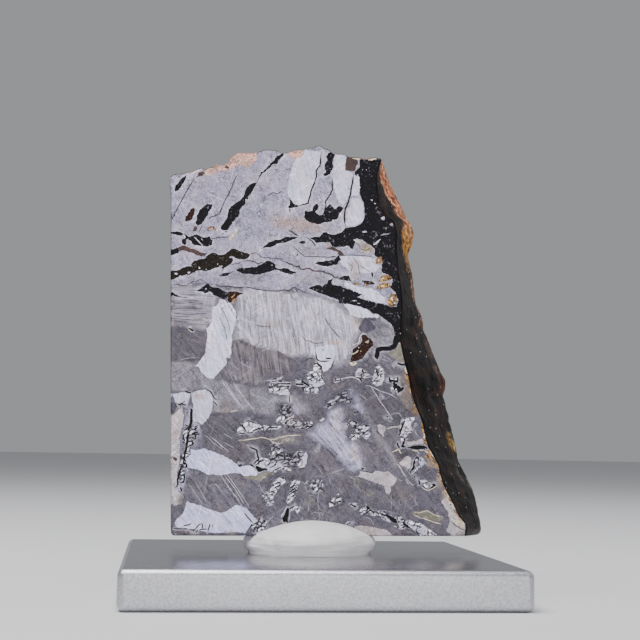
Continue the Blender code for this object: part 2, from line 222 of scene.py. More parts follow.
# The large plates of the metal, from which the finer marks are then cut
PLATES = (
    Patches(Mineral.PALE, """-1,33.9 1,33.7 3,34 5,34.1 8,33.7 11.2,33.6 15,33.3 17.5,33.6 19,33.2
        21,32.6 24,31.9 28,30.6 31,30 34,30 34,56 -1,56"""),
    Patches(Mineral.FADED, """-1,33.6 3,34 5.2,33.9 7.1,31.9 6.2,30.5 6,29 5.6,28 5.3,27.6 3.6,27.6
        2.3,28 -1,28.1"""),
    Patches(Mineral.BRUSHED, """9.4,32.2 10.4,33.6 15,33.3 19,33 21,32.6 23.5,31.8 25,30.4 26.3,29.9
        26.5,28.3 25.6,26.4 24.9,23.8 23.2,23.2 20,24.2 18.6,24.5 17,24.1 15.6,24.8 13.6,25.2 12,25.6
        11.4,25.9 10.1,26.4 8.9,26.3 9.2,28.5 9.4,30"""),
    Patches(Mineral.PLUM, """8.9,26.3 9.4,26.5 10.1,26.4 10.6,26 11.5,25.9 12,25.6 13.6,25.2 15.1,25.2
        16.2,24.3 17,24.1 17.6,22.8 17,21.6 14.6,21.3 13.8,20 12,20.1 10.2,20.4 8.6,20.8 7,21.6
        8.1,23.2 8.6,24.4"""),
    Patches(Mineral.SLATE, """0.3,28.1 2.3,27.9 3.6,27.5 5.3,27.4 5.5,26.5 5.3,25.5 5.1,24.2 4.6,23.6
        2,23.4 0.3,23.6; 6,16.3 7.5,16.35 9,16.5 10,16.3 10.9,16.1 14,16.2 14.6,15.5 14.2,12.8 15.5,12
        14.6,10.6 12,9.7 10.1,9.35 9.3,10.1 7.7,10.9 6.2,11.4 5,12.1 4.5,13 4.8,14.3 5,14.8"""),
    Patches(Mineral.DUSK, """3.1,9 4,8.9 5,8.65 5.8,8.3 6.9,8.1 8.3,8.2 9.8,8.4 10.4,8.1 12,7.6
        13.6,7.3 14,5.4 12.6,4.2 11.3,3.9 10.2,4.3 9.3,3.7 8.1,3.1 7.2,3.4 5.7,3.7 4.2,4.35 3.3,4.8
        2.9,6 3.1,7.5; 26.2,13 27,12 27,10 27,9.1 28.3,8.7 29,9.1 30.6,9 31.2,8.3 32,8 32.8,8.1 31.6,10
        30.2,12 28.9,13.6 28.3,14.5 27.4,13.3; 30,14.6 31,14.9 31.9,14.2 31.8,13.5 31.5,12.8 31,12.3
        30.4,12.8 30,13.5; 13.6,4 15.4,3.9 16.4,3.8 16,2.2 15,1.6 14.6,2.6; 26.4,7.8 28,7.6 29.6,7
        29.9,5.9 28.6,5.4 27.2,6.2"""),
    Patches(Mineral.SLATE, """26,21 28,20.6 31.5,21 33,19 34,17.6 34,16.4 32.6,16.2 31.2,15.4 29.4,15.6
        27.9,17.6 26.6,19"""),
    Patches(Mineral.SLATE, """34.9,9.4 35.5,9.8 36.5,9.7 37.1,9.4 37.1,8.6 36.6,8.1 36,7.9 35.4,8
        34.8,8.4; 33.1,13.9 33.6,14.2 34.2,13.8 34.6,13.4 34.4,13.2 33.5,13.1; 31.2,11.5 32.6,12
        33.9,11.9 34.6,11.4 34,10.7 33.3,11 32.7,10.8 32.2,10.3 31.8,10.2"""),
    Patches(Mineral.HAZE, """0.4,23.3 2,23.3 4.4,23.2 3.8,22.7 4.5,22.2 5.5,21.2 6.4,21.2 7.6,20.7
        8.8,20.6 10.8,20.2 11.6,17 9.6,16.7 6.6,16.5 6.3,18.6 5.4,19.8 3.4,19.4 1,19.2 0.5,19.2;
        11.4,20 14,20.1 17.4,19 19.5,17.4 18,16.4 14.6,16.3 11.6,16.6"""),
    Patches(Mineral.LAVENDER, """19.2,13.9 19.5,14.6 20.5,15.1 22,15.6 22.2,17 24,17.6 24.3,14
        26.2,12.4 27,10.8 26.8,9.2 25.4,9 24.6,9.9 23.3,11.2 22.4,12 21,12.8 19.9,13.6; 3.2,17.2 3.9,17
        4,16 4.2,15.2 4.8,14.8 4.8,13.6 4.5,12.8 4.2,12.2 4,11.6 3.6,11 3.4,10.2 3.2,9.4 3.2,8.4 3,7.4
        2.8,6.6 2.4,5.8 1.8,6.2 1.7,7 1.9,8.2 2.1,9.2 2.3,10.2 2.3,11.2 2.2,12.2 2.2,13.2 2.5,14.2
        2.7,15.2 2.9,16.2; 15.4,17.7 16.2,17.8 17,17.5 17.7,17 17.8,16.6 17.2,16.3 15.5,16.4; 22,18
        22.6,18.6 23.3,18.9 23.4,19.4 24,19.7 24.4,20 25,20.2 25.3,19.6 25.5,19 26.2,18.9 26.3,18.2
        27,17.3 27.1,17 26.3,16.9 26,17.3 25.4,17.8 24.8,18.2 24.1,18.3 23.2,18.2 23,18 22.4,18"""),
    Patches(Mineral.RUNES, """18.9,22.2 19.6,22.4 20.2,23.6 20.9,23.2 21.4,22 21.7,20.8 21.2,19.4
        20.4,19 18.8,19.2 18.4,20.2; 19.4,7.3 20.1,8 21.4,8 22,6.8 21.6,5.8 20.2,5.5 19.6,6.2"""),
    Patches(Mineral.SCRIPT, """13.6,21.5 15.8,21.5 17.1,21 17,19.2 15.6,19 13.8,19.4; 17.2,21.4 19,21.6
        19.4,20.2 18.6,19.6 17.2,20; 15.2,17.8 17,17.9 17.6,16.6 18.4,15.9 19.6,15.9 20.4,15.3
        20.2,14.4 18.6,14 16.8,14.2 15.8,15 15.2,16.4; 22.8,21.9 24.2,21.9 25.4,22.2 26,23 27.2,22.9
        27.9,22.2 27.8,21.2 26.2,21 24.6,21.2 22.8,20.9; 28,22.4 28.6,23.7 29.5,23.4 29.9,22.2
        29.6,20.9 28.6,20.6 27.9,21.2; 24.9,16 25.8,15.9 26.8,15.4 28.1,15.1 28,13.8 27.2,13.2 26,13.3
        25,12.9 24.8,13.8 25.6,14.4 24.8,15.2; 25.6,17.4 26.4,17.2 26.6,16.4 25.6,16.2; 31.8,16
        33.4,16.5 34.1,16 33.8,14.6 33,13.5 32,13.6; 2.3,14 3,14.8 4.2,14.6 4.7,13.6 4,12 3.5,10.6
        3.1,9 2.8,7 2,6.6 1.9,8 2.2,10 2.5,12; 22.2,4.9 22.9,5.6 24.4,5.2 24.2,4.3 22.8,3.9 22.2,4.2"""),
    Patches(Mineral.TALLY, """14,12.7 15.4,13 16,12.4 16.6,11.8 17.6,11.6 18.2,12 19.3,11.6 19.5,10.2
        18.8,9.2 17.8,9.2 17,9.4 16.2,9.2 14.4,8.8 13.8,10 14,11.2; 21.7,18.6 22.6,18.7 23.6,19.6
        24.4,20.2 25,20.2 25.3,19.2 26,18.6 25.8,17.8 24.9,18 24,18.2 23,17.8 22,17.2; 14.6,8 15.6,8.3
        16.5,8 16.3,7.2 15.4,6 14.6,5.2 13.8,4.4 13.2,5.2 14,6.4; 17,8.2 18.3,8.2 18.2,7 17.6,5.8
        16.6,4.6 16.3,5.4 16.9,6.6; 11.8,2.2 13,3 14.6,2.4 14.2,0.5 12.4,0.2 11.6,1; 20.6,17.2
        21.8,16.6 21.6,15.6 20.7,15.8"""),
    Patches(Mineral.CHAIN, """26.6,3.8 28,4.3 30,3.7 32,3 34,2.3 36,1.6 37.3,0.6 35,0.4 33,1.2 31,2
        29,2.8 27,3"""),
    Patches(Mineral.KAMACITE, """7.1,31.9 6.9,31.6 6.7,31.1 6.3,30.8 6.1,30.3 5.95,30 6,29.2 5.75,28.9
        5.8,28.4 5.6,28.1 5.3,27.9 5.4,27.4 5.5,26.9 5.45,26.3 5.35,25.6 5.3,25 5.2,24.4 5,23.95
        4.7,23.7 4.4,23.2 3.85,22.7 4.5,22.6 4.6,22.1 5,21.7 5.5,21.2 6,21.05 6.4,21.15 6.8,21.6 7.2,22
        7.6,22.5 8.05,22.95 8.1,23.4 8.1,24 8.5,23.85 8.6,24.3 8.8,24.5 8.7,25.5 8.9,26.3 8.8,27
        9.2,28.5 9.3,29.5 9.4,30 8.6,31.2 8,31.7"""),
    # Bluish white plates, their colour partly a painted highlight of the light
    Patches(Mineral.BLUISH_SHEEN, """3.6,11.6 4.2,11.4 5,11.6 5.6,11.6 6.2,11.35 7,11.1 7.7,10.9 8.4,10.45
        9.3,10.05 9.8,9.7 10.15,9.25 10.5,9.35 11.3,9.5 11.8,9.35 12.2,9.1 12.5,8.7 12.7,8.3 12.4,8.05
        11.8,8 11.3,7.95 10.7,8.15 10.3,8.4 9.8,8.45 9,8.4 8.3,8.2 7.6,8.1 6.9,8.2 6.2,8.2 5.5,8.4
        4.8,8.8 4,8.95 3.2,9.1 3.15,9.6 2.9,10.2 3.6,10.7; 2,2.3 2.8,2.9 3,3.4 3.15,4.2 3.4,4.7 3.7,4.4
        4.3,4.25 5,4.05 5.6,3.8 6.2,3.6 6.8,3.45 7.3,3.2 7.9,3.1 8.5,3.3 9,3.55 9.4,3.8 9.9,4.2
        10.5,4.1 11.2,3.8 11.8,3.2 12.4,2.6 12.9,2 12.6,1.9 12,1.7 11.5,1 11.2,0.4 10,0.6 8,0.4 6.2,0.5
        4,0.9 2,1.1 1.7,1.7"""),
    Patches(Mineral.TAN, """0.8,15.8 1,15.9 1.5,16.4 1.85,16.8 2.3,17.1 2.6,16 2.4,14.4 2.1,13 2.2,11
        2.1,9.6 1.9,8 1.8,6.6 2.2,5.8 2.8,5.2 2.6,4.2 1.6,4 0.9,5 0.8,9; 26.6,8.9 27.1,8.85 27.7,8.8
        28.3,8.65 28.7,9 29.2,9 29.7,8.9 30.1,8.8 30.55,8.9 31,8.5 31.5,8.15 31.8,8 31.6,7.7 31.4,7.3
        31.1,7.05 30.9,6.9 30.2,6.9 29.8,7.1 29.2,7.2 28.7,7.4 28.1,7.65 27.6,7.8 27,8 26.2,8.1
        25.8,8.15 26.3,8.3 26.6,8.5; 30,6.9 30.9,6.9 30.95,6.3 30.7,5.9 30.3,5.9 30.1,6.3; 32,10.1
        32.6,10.6 32.9,11 33.5,11 33.7,10.5 33.6,10 33.7,9.7 33.3,9.3 32.9,9.6; 28.9,15.2 29.3,15.3
        30.1,15 30.2,14.7 29.9,14.2 29.8,13.7 29.4,13.5; 33,13.1 33.5,13.05 34.4,13.1 34.9,13.5
        35.3,13.4 35.5,13 35.4,12.75 34,12.7 33.4,12.4 33.1,12.6; 38.4,6 39,5.3 39.4,4.6 39.6,4
        39.9,3.4 40.2,3 40.7,2.5 41.3,1.8 41.2,0.5 39.6,0.3 38.6,1 39.2,2.2 38.9,3.4 38,4.8; 26.4,1.6
        28.4,1.4 30.4,1 31.2,0.4 26.8,0.1 25.6,1.1"""),
    Patches(Mineral.KAMACITE, """3.5,19 4.4,19.4 5,19.6 5.4,19.6 5.7,19.35 6,19.2 6.2,18.9 6.35,18.4
        6.4,17.2 6.3,16.7 6,15.95 5.6,15.4 5,14.85 4.5,15.2 3.9,15.3 3.8,17.2; 1,18.9 1.9,19.05
        2.4,19.1 3.3,19 3.4,18.5 3.2,18 3.1,17.5 1.5,17.8 1.2,18.3; 20.6,52.9 20.5,51 19.9,50.2 20,49.4
        19.7,48.4 19.3,47.4 19.1,46.5 18.9,45.6 17.9,45.3 17.2,45.2 16.7,45.4 16.3,46.2 16,46.9
        16.1,48.4 16.6,50.4 17.4,52.6 18.4,53.1; 25,46.9 25.1,49.7 25.9,49.9 26.1,48 26,47; 24.2,42.6
        24.3,44.4 25,46.6 26.3,46.4 26.7,45 26.6,43.4 25.6,42.7; 22.3,52.6 22.5,50.9 22.3,49 22.5,47.6
        22.9,46.2 23.8,45.4 24.4,46.4 24.8,48 25.1,49.7 24.4,50.8 24,52.5; 23.3,38.3 24,38.45 25,38.5
        27,38.45 28.3,38.3 28.4,37.9 28.8,37.4 28.9,36.9 28.6,36.4 27.4,36.1 26.2,36.2 25.2,35.9
        24.6,36.6 23.6,37.2; 24,34.3 24.1,34.7 25,34.6 26,34.2 27,34.05 28,34 28.6,33.75 29.2,33.2
        29.7,32.7 29.9,32.2 29.5,31.95 28.8,32.05 28,32.3 27.2,32.5 26.7,32.85 27,33.1 26,33.4
        25.2,33.75 24.7,33.95; 23.8,31.9 24.4,31.7 25.4,31.6 26.5,31.3 27.4,31 27.7,30.7 28.1,30.4
        28.95,30.4 28.9,30 28.4,29.95 27.6,30 26.5,29.85 25.6,30.1 25,30.4 24.6,31 24.2,31.5; 20.3,25.6
        20.8,25.9 21.3,25.8 21.8,26.1 22.7,26 22.95,25.5 23,24.8 22.8,24.2 22.6,23.6 22.4,23 22,22.6
        21.4,22.3 21.1,22.8 20.9,23.3 20.6,23.7 20.4,24.2 20.35,24.9"""),
    Patches(Mineral.ROSE, """8,51.5 8.5,52.2 9,52.5 10,52.5 11.5,52.5 11.7,51.9 11.6,51.2 11.2,50.9
        10.7,50.4 10,50.3 9.6,50.7 9,50.6 8.4,50.1 7.6,49.8 6.4,49.7 5.9,49.2 5.2,49 4.7,48.9 4.6,49.6
        5.2,50.3 6.2,50.9 7.2,50.7 7.7,51; 15.9,52.5 16.4,53 17.6,53.4 18.2,53.2 18.1,52.3 17.3,51.8
        16.5,51.9; 1.6,49.4 2.6,49.7 3.8,50.2 4.2,50 3.4,49.4 2.4,49"""),
    Patches(Mineral.SMOKE, """26.6,29.4 27,29.8 27.5,29.7 28,29.4 28.4,29 28.6,28.5 28.1,28.2 27.2,27.8
        26.3,28.1 26.1,28.5 26.4,29; 0.75,17.9 1.5,17.6 1.6,17 1.2,16.4 0.8,15.9"""),
    Patches(Mineral.OLIVE, """32.05,27 32.4,26.2 32.7,25.4 32.9,24.8 32.85,24.2 32.6,23.95 32,24.05
        31.5,24.2 30.9,24.6 30.4,25.1 30.9,25.45 31.3,25.7 31.6,26 31.8,26.5; 11,7.7 12,7.6 13,7.4
        13.6,7.9 14.3,8.2 15,8.3 14.9,8.6 14,8.7 13.2,8.3 12.6,8.1 11,8.05; 33.7,3.4 34.5,3.55 36,3.7
        36.8,3.3 37.5,2.9 38.3,2.7 37.6,2.2 36,2.6 35,2.8 34.1,3.1"""),
    Patches(Mineral.HAZE, """27.9,29.6 28.3,29.35 28.9,29.4 29.4,29.3 29.9,29 30.4,28.7 30.9,28.4
        31.1,28 31.15,27.4 31,26.8 31,26.3 30.6,26.2 30.1,26 29.5,26 28.9,25.9 28.6,25.8 28.35,26
        28.3,26.4 27.9,27 27.2,27.7 28.2,28.2 28.6,28.5"""),
    Patches(Mineral.HAZE, """26.9,16.6 27.4,16.9 27.6,16.5 28,15.6 28.3,15.1 28.8,14.6 29.3,14
        29.8,13.4 30.1,12.8 30.3,12.3 30.8,11.6 31.2,11 31.6,10.4 31.9,9.9 31.7,9.7 31.3,9.9 30.9,10.5
        30.5,11.1 30.2,11.8 29.8,12.4 29.2,12.9 28.8,13.5 28.4,14.2 28.1,14.8 27.7,15.1 27.5,15.7
        27.1,16.3"""),
)

# Black and brown oxide that fills the veins, the cracks and the weathered right side
VEINS = (
    Patches(Mineral.OXIDE, """26.2,53.4 26.1,52.2 26,51 25.4,50.3 25.3,49.9 26,49.6 26.1,48.5 26.1,47.2
        26.3,46.6 26.6,46 26.8,45 26.8,44 26.5,43.2 26,42.7 25.2,42.5 24.2,42.4 23.8,41.9 23.3,41.5
        22.5,41.3 22,41.4 21.7,41.4 21.5,41.7 21.1,41.6 20.8,41.3 20.5,40.9 20,40.95 19.5,40.8
        19.2,40.8 19.6,40.5 20.2,40.1 20.9,40.15 21.5,40.25 22,40.25 22.1,40.05 22.4,39.7 22.6,39.5
        22.9,39.6 23.6,39.65 24.1,39.65 24.4,39.8 24.7,39.7 25,39.45 25.3,39.4 25.4,39.7 25.4,40.1
        25.6,40.4 25.3,40.7 25.6,40.85 26.1,40.8 26.6,40.75 27.1,40.3 27.7,40 28.2,39.7 28.3,39.2
        28.2,38.6 28.6,38.3 29.2,38.4 29.4,37.5 29.2,36.6 29.5,36.2 30.3,36 30.8,35.5 30.8,34.9
        30.5,34.2 31.3,33.5 31.7,32.6 31.5,31.6 30.6,31.5 30.2,31.75 29,32 27.8,32.25 26.8,32.5
        25.85,32.8 26.4,32.95 26.6,33.1 26.2,33.25 25.2,33.65 24.7,33.85 24,34 23.7,34.2 23,34.25
        22.4,34.4 22.3,34.7 22.4,35.1 22.5,35.35 22.2,35.1 21.8,34.85 21.7,34.45 21.4,34.3 21,34.2
        20.5,34.3 20,34.15 19.5,33.95 19.1,33.85 20,33.4 20.6,33.2 21.1,33.05 21.7,32.85 22.3,32.6
        22.8,32.45 23.2,32.25 23.5,32.1 23.4,31.85 24,31.75 24.6,31.7 25.2,31.65 25.8,31.5 26.6,31.35
        27.1,31.15 27.6,31 27.9,30.7 28.2,30.5 28.9,30.5 29.4,30 30,29.6 30.6,29.2 31.1,28.5 31.2,27.6
        31.6,27.2 32,27.1 32.3,26.2 34,24.6 34,34 33,42 31,48 31,54"""),
    Patches(Mineral.OXIDE, """0.5,46.65 0.65,46.55 1.1,46.7 1.5,47.3 2,48.3 2.2,48.9 1.8,48.6 1.4,48.3
        1,47.7 0.7,47.4; 3.45,42.3 3.7,42 4.3,42.1 4.9,43 5.3,43.9 5.75,44.9 5,44.95 4.5,44.6 4,44.1
        3.7,43.3; 6.9,41.7 7.3,42.4 7.7,43 8,44.2 8.3,44.8 9,45.3 9.4,45.6 9.9,46.1 10,46.6 10.3,47.3
        10.8,47.9 11.3,48.15 11.7,48.2 12,48.9 12,49.2 12.2,49.5 12.9,50.1 13.3,50.7 14.1,51.4
        14.5,52.1 15,52.3 15.6,52.6 15.4,52.2 14.9,51.6 14.4,50.9 13.9,50.8 13.4,50.2 12.8,49.7
        12.3,49.3 12.1,48.9 11.7,48 11.3,47.2 11,46.6 10.5,46.2 10.7,45.9 10.5,45.7 10.2,45.9 10.3,45.2
        9.7,44.7 9.5,44.1 9.4,43.5 9,43.2 8.7,42.7 8.2,42 7.8,41.4 7.2,41.4; 16.1,44.9 16.4,45.3
        16.3,46.2 16,46.6 16.4,46.2 16.9,45.5 17.6,45.2 17.2,44.9 16.6,44.8; 22.2,52.9 22.6,52.4
        22.3,51.9 22.2,51.3 22.4,50.9 22.1,50.3 21.9,49.8 21.2,49.5 20.8,49.6 21.1,49.9 21.4,50.1
        21,50.5 21.2,51.2 21.5,51.7 21.3,52.3 21.7,52.8; 18.4,44.2 18.6,44.6 19,44.4 19.5,44.6
        19.6,45.2 20,45.6 20.3,45.6 20.3,45 20,44.4 20.5,44 20.9,44.1 21.2,44.6 21.5,45.2 21.9,45.6
        22.3,45.4 22.5,44.9 22.8,45 23,45.3 23.5,45.3 23.8,45 23.5,44.6 23.2,44 23,43.5 22.4,43.4
        22,43.1 21.2,43 20.5,42.7 19.6,42.8 18.9,43 18.5,43.5"""),
    Patches(Mineral.OXIDE, """1.95,40.7 2.35,40.58 2.8,40.4 3.2,40.45 3.5,40.75 3.75,40.75 4.2,40.55
        4.6,40.32 4.85,40.3 5.2,40.4 5.5,40.5 5.55,40.2 5.85,39.95 5.75,39.65 5.85,39.42 5.6,39.22
        5.1,39.08 4.4,39.12 3.9,39.2 3.4,39.25 3,39.38 2.9,39.7 2.55,39.9 2.3,39.75 2.3,39.35 2.15,39.1
        1.75,39.45 1.6,39.9 2.05,40.05 2.15,40.35 2,40.5; 0.1,40.95 0.9,41 1.4,40.95 1.75,40.8
        1.85,40.55 1.5,40.4 1.1,40.45 0.75,40.6 0.1,40.75; 0.1,38.5 0.7,38.6 1.2,38.85 1.35,38.2
        1.35,38 0.7,37.9 0.1,37.5; 6.6,35 7.1,35.3 7.6,35.55 8.1,35.6 8.6,35.7 9,35.95 8.5,35.5 8,35.15
        7.4,35; 9.1,35.95 9.4,36.15 9.8,36.3 10.8,36.35 11.3,36.45 12,36.45 12.15,36.7 12.5,36.8
        12.85,37 13,37.2 13.4,37.35 13.8,37.35 14.2,37.15 14.45,37 14.55,36.75 14.6,36.5 15,36.35
        15.5,36.4 16.2,36.5 16.4,36.35 16.7,36.15 17.2,36 17.5,35.9 17.1,35.75 16.5,35.6 16,35.7
        15.6,35.85 15.2,35.95 15,36.2 14.7,36.2 14.3,36.05 13.7,35.85 13,35.7 12.3,35.5 11.6,35.4
        10.8,35.5 10.2,35.55 9.5,35.7 9.2,35.85; 3.8,32.9 4.2,33.2 4.5,33.4 5,33.75 5.3,33.95 5.5,34
        5.65,33.8 5.8,33.55 6.4,33.45 6.9,33.45 7.2,33.25 7.5,33 8,32.95 8.1,32.5 8,32 8.1,31.6
        8.25,31.4 8,31.4 7.9,31.8 7.5,31.9 7.1,32 6.8,32.3 6.3,32.4 6,32.7 5.65,33 5.4,32.75 5.1,32.6
        4.8,32.7 4.6,32.9 4.2,32.85; 0.1,32.7 0.75,32.75 1,32.4 1.6,32.15 2.5,32.05 3.3,32 2.5,31.95
        1.2,32.05 0.1,32.2; 12.4,38.9 12.7,39.1 13,39.4 13.5,39.9 14.1,40.15 14.6,40.35 15.1,40.4
        15.6,40.6 16.1,40.75 16.7,40.8 17.2,40.85 17.5,40.95 17.4,40.65 17.1,40.5 16.6,40.35 16.2,40.15
        15.8,39.95 15.3,39.95 14.8,39.8 14.3,39.45 13.7,39.3 13.2,39.25 12.8,39.05; 17.8,40 18,40.3
        18.4,40.4 18.7,40.2 18.6,39.9 18.2,39.9; 20,37.2 20.3,37.4 20.7,37.5 21.2,37.6 21.7,37.75
        22.3,37.75 22.6,37.9 23,38.15 23.2,38.5 23.35,38.4 23.4,38.1 23.6,37.9 23.2,37.6 23,37.2
        22.5,37.1 22.1,36.95 21.6,36.85 21.1,36.85 20.6,37 20.3,37.1; 17.3,38 17.5,38.55 17.7,38.3;
        23.4,35.1 23.6,35.5 24.1,35.7 24.8,35.75 24.9,35.3 25.3,34.75 24.8,34.9 24,35"""),
    Patches(Mineral.SOOT, """3.2,36.9 3.5,37.1 4,37.2 4.9,37.4 5,37.8 5.4,38 5.8,38.25 6.1,38.3
        6.5,38.15 6.9,38 7.4,38.05 7.8,38.2 8.1,38.55 8.4,38.8 8.8,38.9 9.3,38.75 9.8,38.55 10.3,38.4
        10.9,38.3 11,38.2 10.95,37.9 10.6,37.6 10.1,37.4 9.5,37.5 9,37.65 8.8,37.75 8.15,37.8 8.3,37.6
        8.7,37.5 8.65,37.1 8.4,36.8 8.1,36.55 7.8,36.35 7.5,36.2 7.5,35.95 7.3,35.75 7.35,36.1 7.1,36.2
        6.7,36.25 6.3,36.2 5.9,36 5.6,35.75 5.1,35.65 4.6,35.75 4,35.75 3.7,35.6 3.3,35.4 2.8,35.1
        2.2,35.05 1.6,34.95 1,34.6 0.5,34.3 0.3,34.4 0.35,34.8 0.1,35.2 0.1,35.6 1,35.65 1.5,35.75
        1.75,36 2,36.1 2.4,36.25 2.8,36.35 3.2,36.3 3,36.6"""),
    Patches(Mineral.RUSSET, """2,42.6 2.3,42.4 2.8,42.6 3.3,43.4 3.4,44.2 3.3,44.3 2.9,44.3 2.6,43.8
        2.2,43.2; 8.05,32.95 8.8,33.05 9.4,33 9.8,32.85 10.35,32.9 9.9,32.6 9.5,32.4 9.2,32.1 8.8,31.7
        8.4,31.4 8.1,31.7; 26.6,27.4 26.8,27.6 27.1,27.6 27.5,27.3 27.9,27 28.2,26.6 28.3,26.3 28.3,26
        28,25.85 27.6,25.4 27.1,24.8 26.7,24.3 26.3,24 25.9,23.9 25.5,23.8 25,23.65 25.1,24.2 25.3,24.7
        25.4,25.2 25.3,25.45 25.7,25.7 26.1,26 26.5,26.3 26.6,26.9; 26.5,35.1 27.5,35.1 28.4,34.8
        28.2,34.5 27.2,34.5 26.7,34.8"""),
    Patches(Mineral.BROWN, """1.2,38.85 1.7,39.1 2.1,39.1 2.6,38.95 3,38.75 3.5,38.65 4,38.35 4.6,38.2
        5.2,38.2 4.8,37.75 4,37.8 3.3,38.05 2.7,38.25 2.2,38.4 1.7,38.45 1.35,38.2; 3.1,41.1 3.3,41.9
        3.7,41.9 3.6,41.1; 22.3,39.6 22.7,39.55 23,39.3 23.4,39.2 23.7,38.9 24,38.7 24,38.4 23.3,38.5
        23.1,38.9 22.6,39.1 22.2,39.2 21.4,39.3 21.7,39.45; 24,50.3 24.1,52.2 25.2,52.3 25.9,51.8
        25.3,50.4; 3.6,48.7 3.7,49.3 4.4,49.5 4.7,49.2 4.2,48.8; 7.2,50.1 7.5,50.4 8,50.3 7.9,49.9;
        1.2,10.6 1.7,10.3 2,10.05 1.5,9.9 1.3,10.2"""),
    Patches(Mineral.CRACK, """31.15,27.6 31,26.9 31,26.3 30.6,26.25 30.5,26.05 30,26.05 29.4,26
        28.9,25.9 28.6,25.7 28.55,25.3 28.5,24.9 28.4,24.5 28.7,24.3 28.9,24.15 29.05,24.5 29.2,24.9
        29.1,25.3 29.5,25.4 30,25.4 30.8,25.5 31.2,25.7 31.55,26 31.7,26.4 32,26.8 32.05,27.3;
        30.4,21.2 30.5,21.85 30.9,21.6 31.4,21.75 31.7,21.85 31.85,21.6 31.7,21.1 31.6,20.75 32,20.6
        32.6,20.4 32.5,20.1 31.9,19.7 31.6,19.7 31.35,20.2 31.1,19.8 31,20.3 31.1,20.8 30.7,21;
        12.5,9.45 12.9,9.3 13.3,9.1 13.9,9.15 14,8.9 13.4,8.8 12.9,8.55 12.7,8.6 12.6,8.9 12.35,9.15;
        16.6,3.6 16.8,3.85 17,3.8 17.1,3.6 17,3.3 17,3 16.95,2.6 16.9,2.2 17,1.8 17.1,1.5 16.95,1.5
        16.85,1.8 16.75,2 16.3,1.9 16.2,2.2 16.1,2.45 16.35,2.75 16.5,3.1 16.55,3.4; 29.4,3.25 29.7,3.3
        30,3.15 30.5,3.1 30.9,2.9 31.2,2.8 31.4,2.65 31.6,2.55 31.8,2.35 31.9,2.05 31.7,1.95 31.4,2
        31.1,2.1 31,2.35 30.8,2.6 30.4,2.85 30,2.95 29.6,3.05; 32.4,2.25 32.7,2.15 33,1.9 33.3,1.75
        33.5,1.5 33.4,1.3 33.2,1.35 33,1.6 32.75,1.7 32.65,1.9; 33.1,12.25 33.5,12.3 33.9,12.5
        34.5,12.55 35.2,12.55 35.6,12.5 35.9,12.35 36,12.05 35.7,12.1 35,12 34.5,11.95 34,12 33.5,12.1
        33.2,12.1; 32.65,13.55 32.9,13.5 32.9,13.3 32.75,13 32.8,12.8 32.6,12.5 33.1,12.25 32.5,12.2
        32.2,12.35 32.4,12.6 32.45,12.95 32.7,13.2; 34.6,11.05 34.75,10.9 34.9,10.7 35,10.5 34.8,10.4
        34.65,10.7 34.4,10.75 34.3,10.4 34.3,10.1 34.15,9.9 34.25,9.6 34.1,9.3 33.9,9.1 33.7,8.9
        33.5,8.65 33.4,8.7 33.6,9 33.8,9.4 33.95,9.8 33.95,10.2 34.1,10.5 34.3,10.9; 36.6,7.3 36.9,7.4
        37.2,7.2 37.25,7.1 36.9,6.8 36.4,6.6 36.2,6.5 36.3,6.7 36.6,6.95 36.8,7.05 36.7,7.2; 2.4,19.45
        2.8,19.35 3.2,19.2 3.6,19.15 3.3,19 2.8,19.15; 31.6,23.9 32.4,23.7 32.9,23.9 32.9,23.5
        32.2,23.4 31.7,23.6""", 0.03),
)

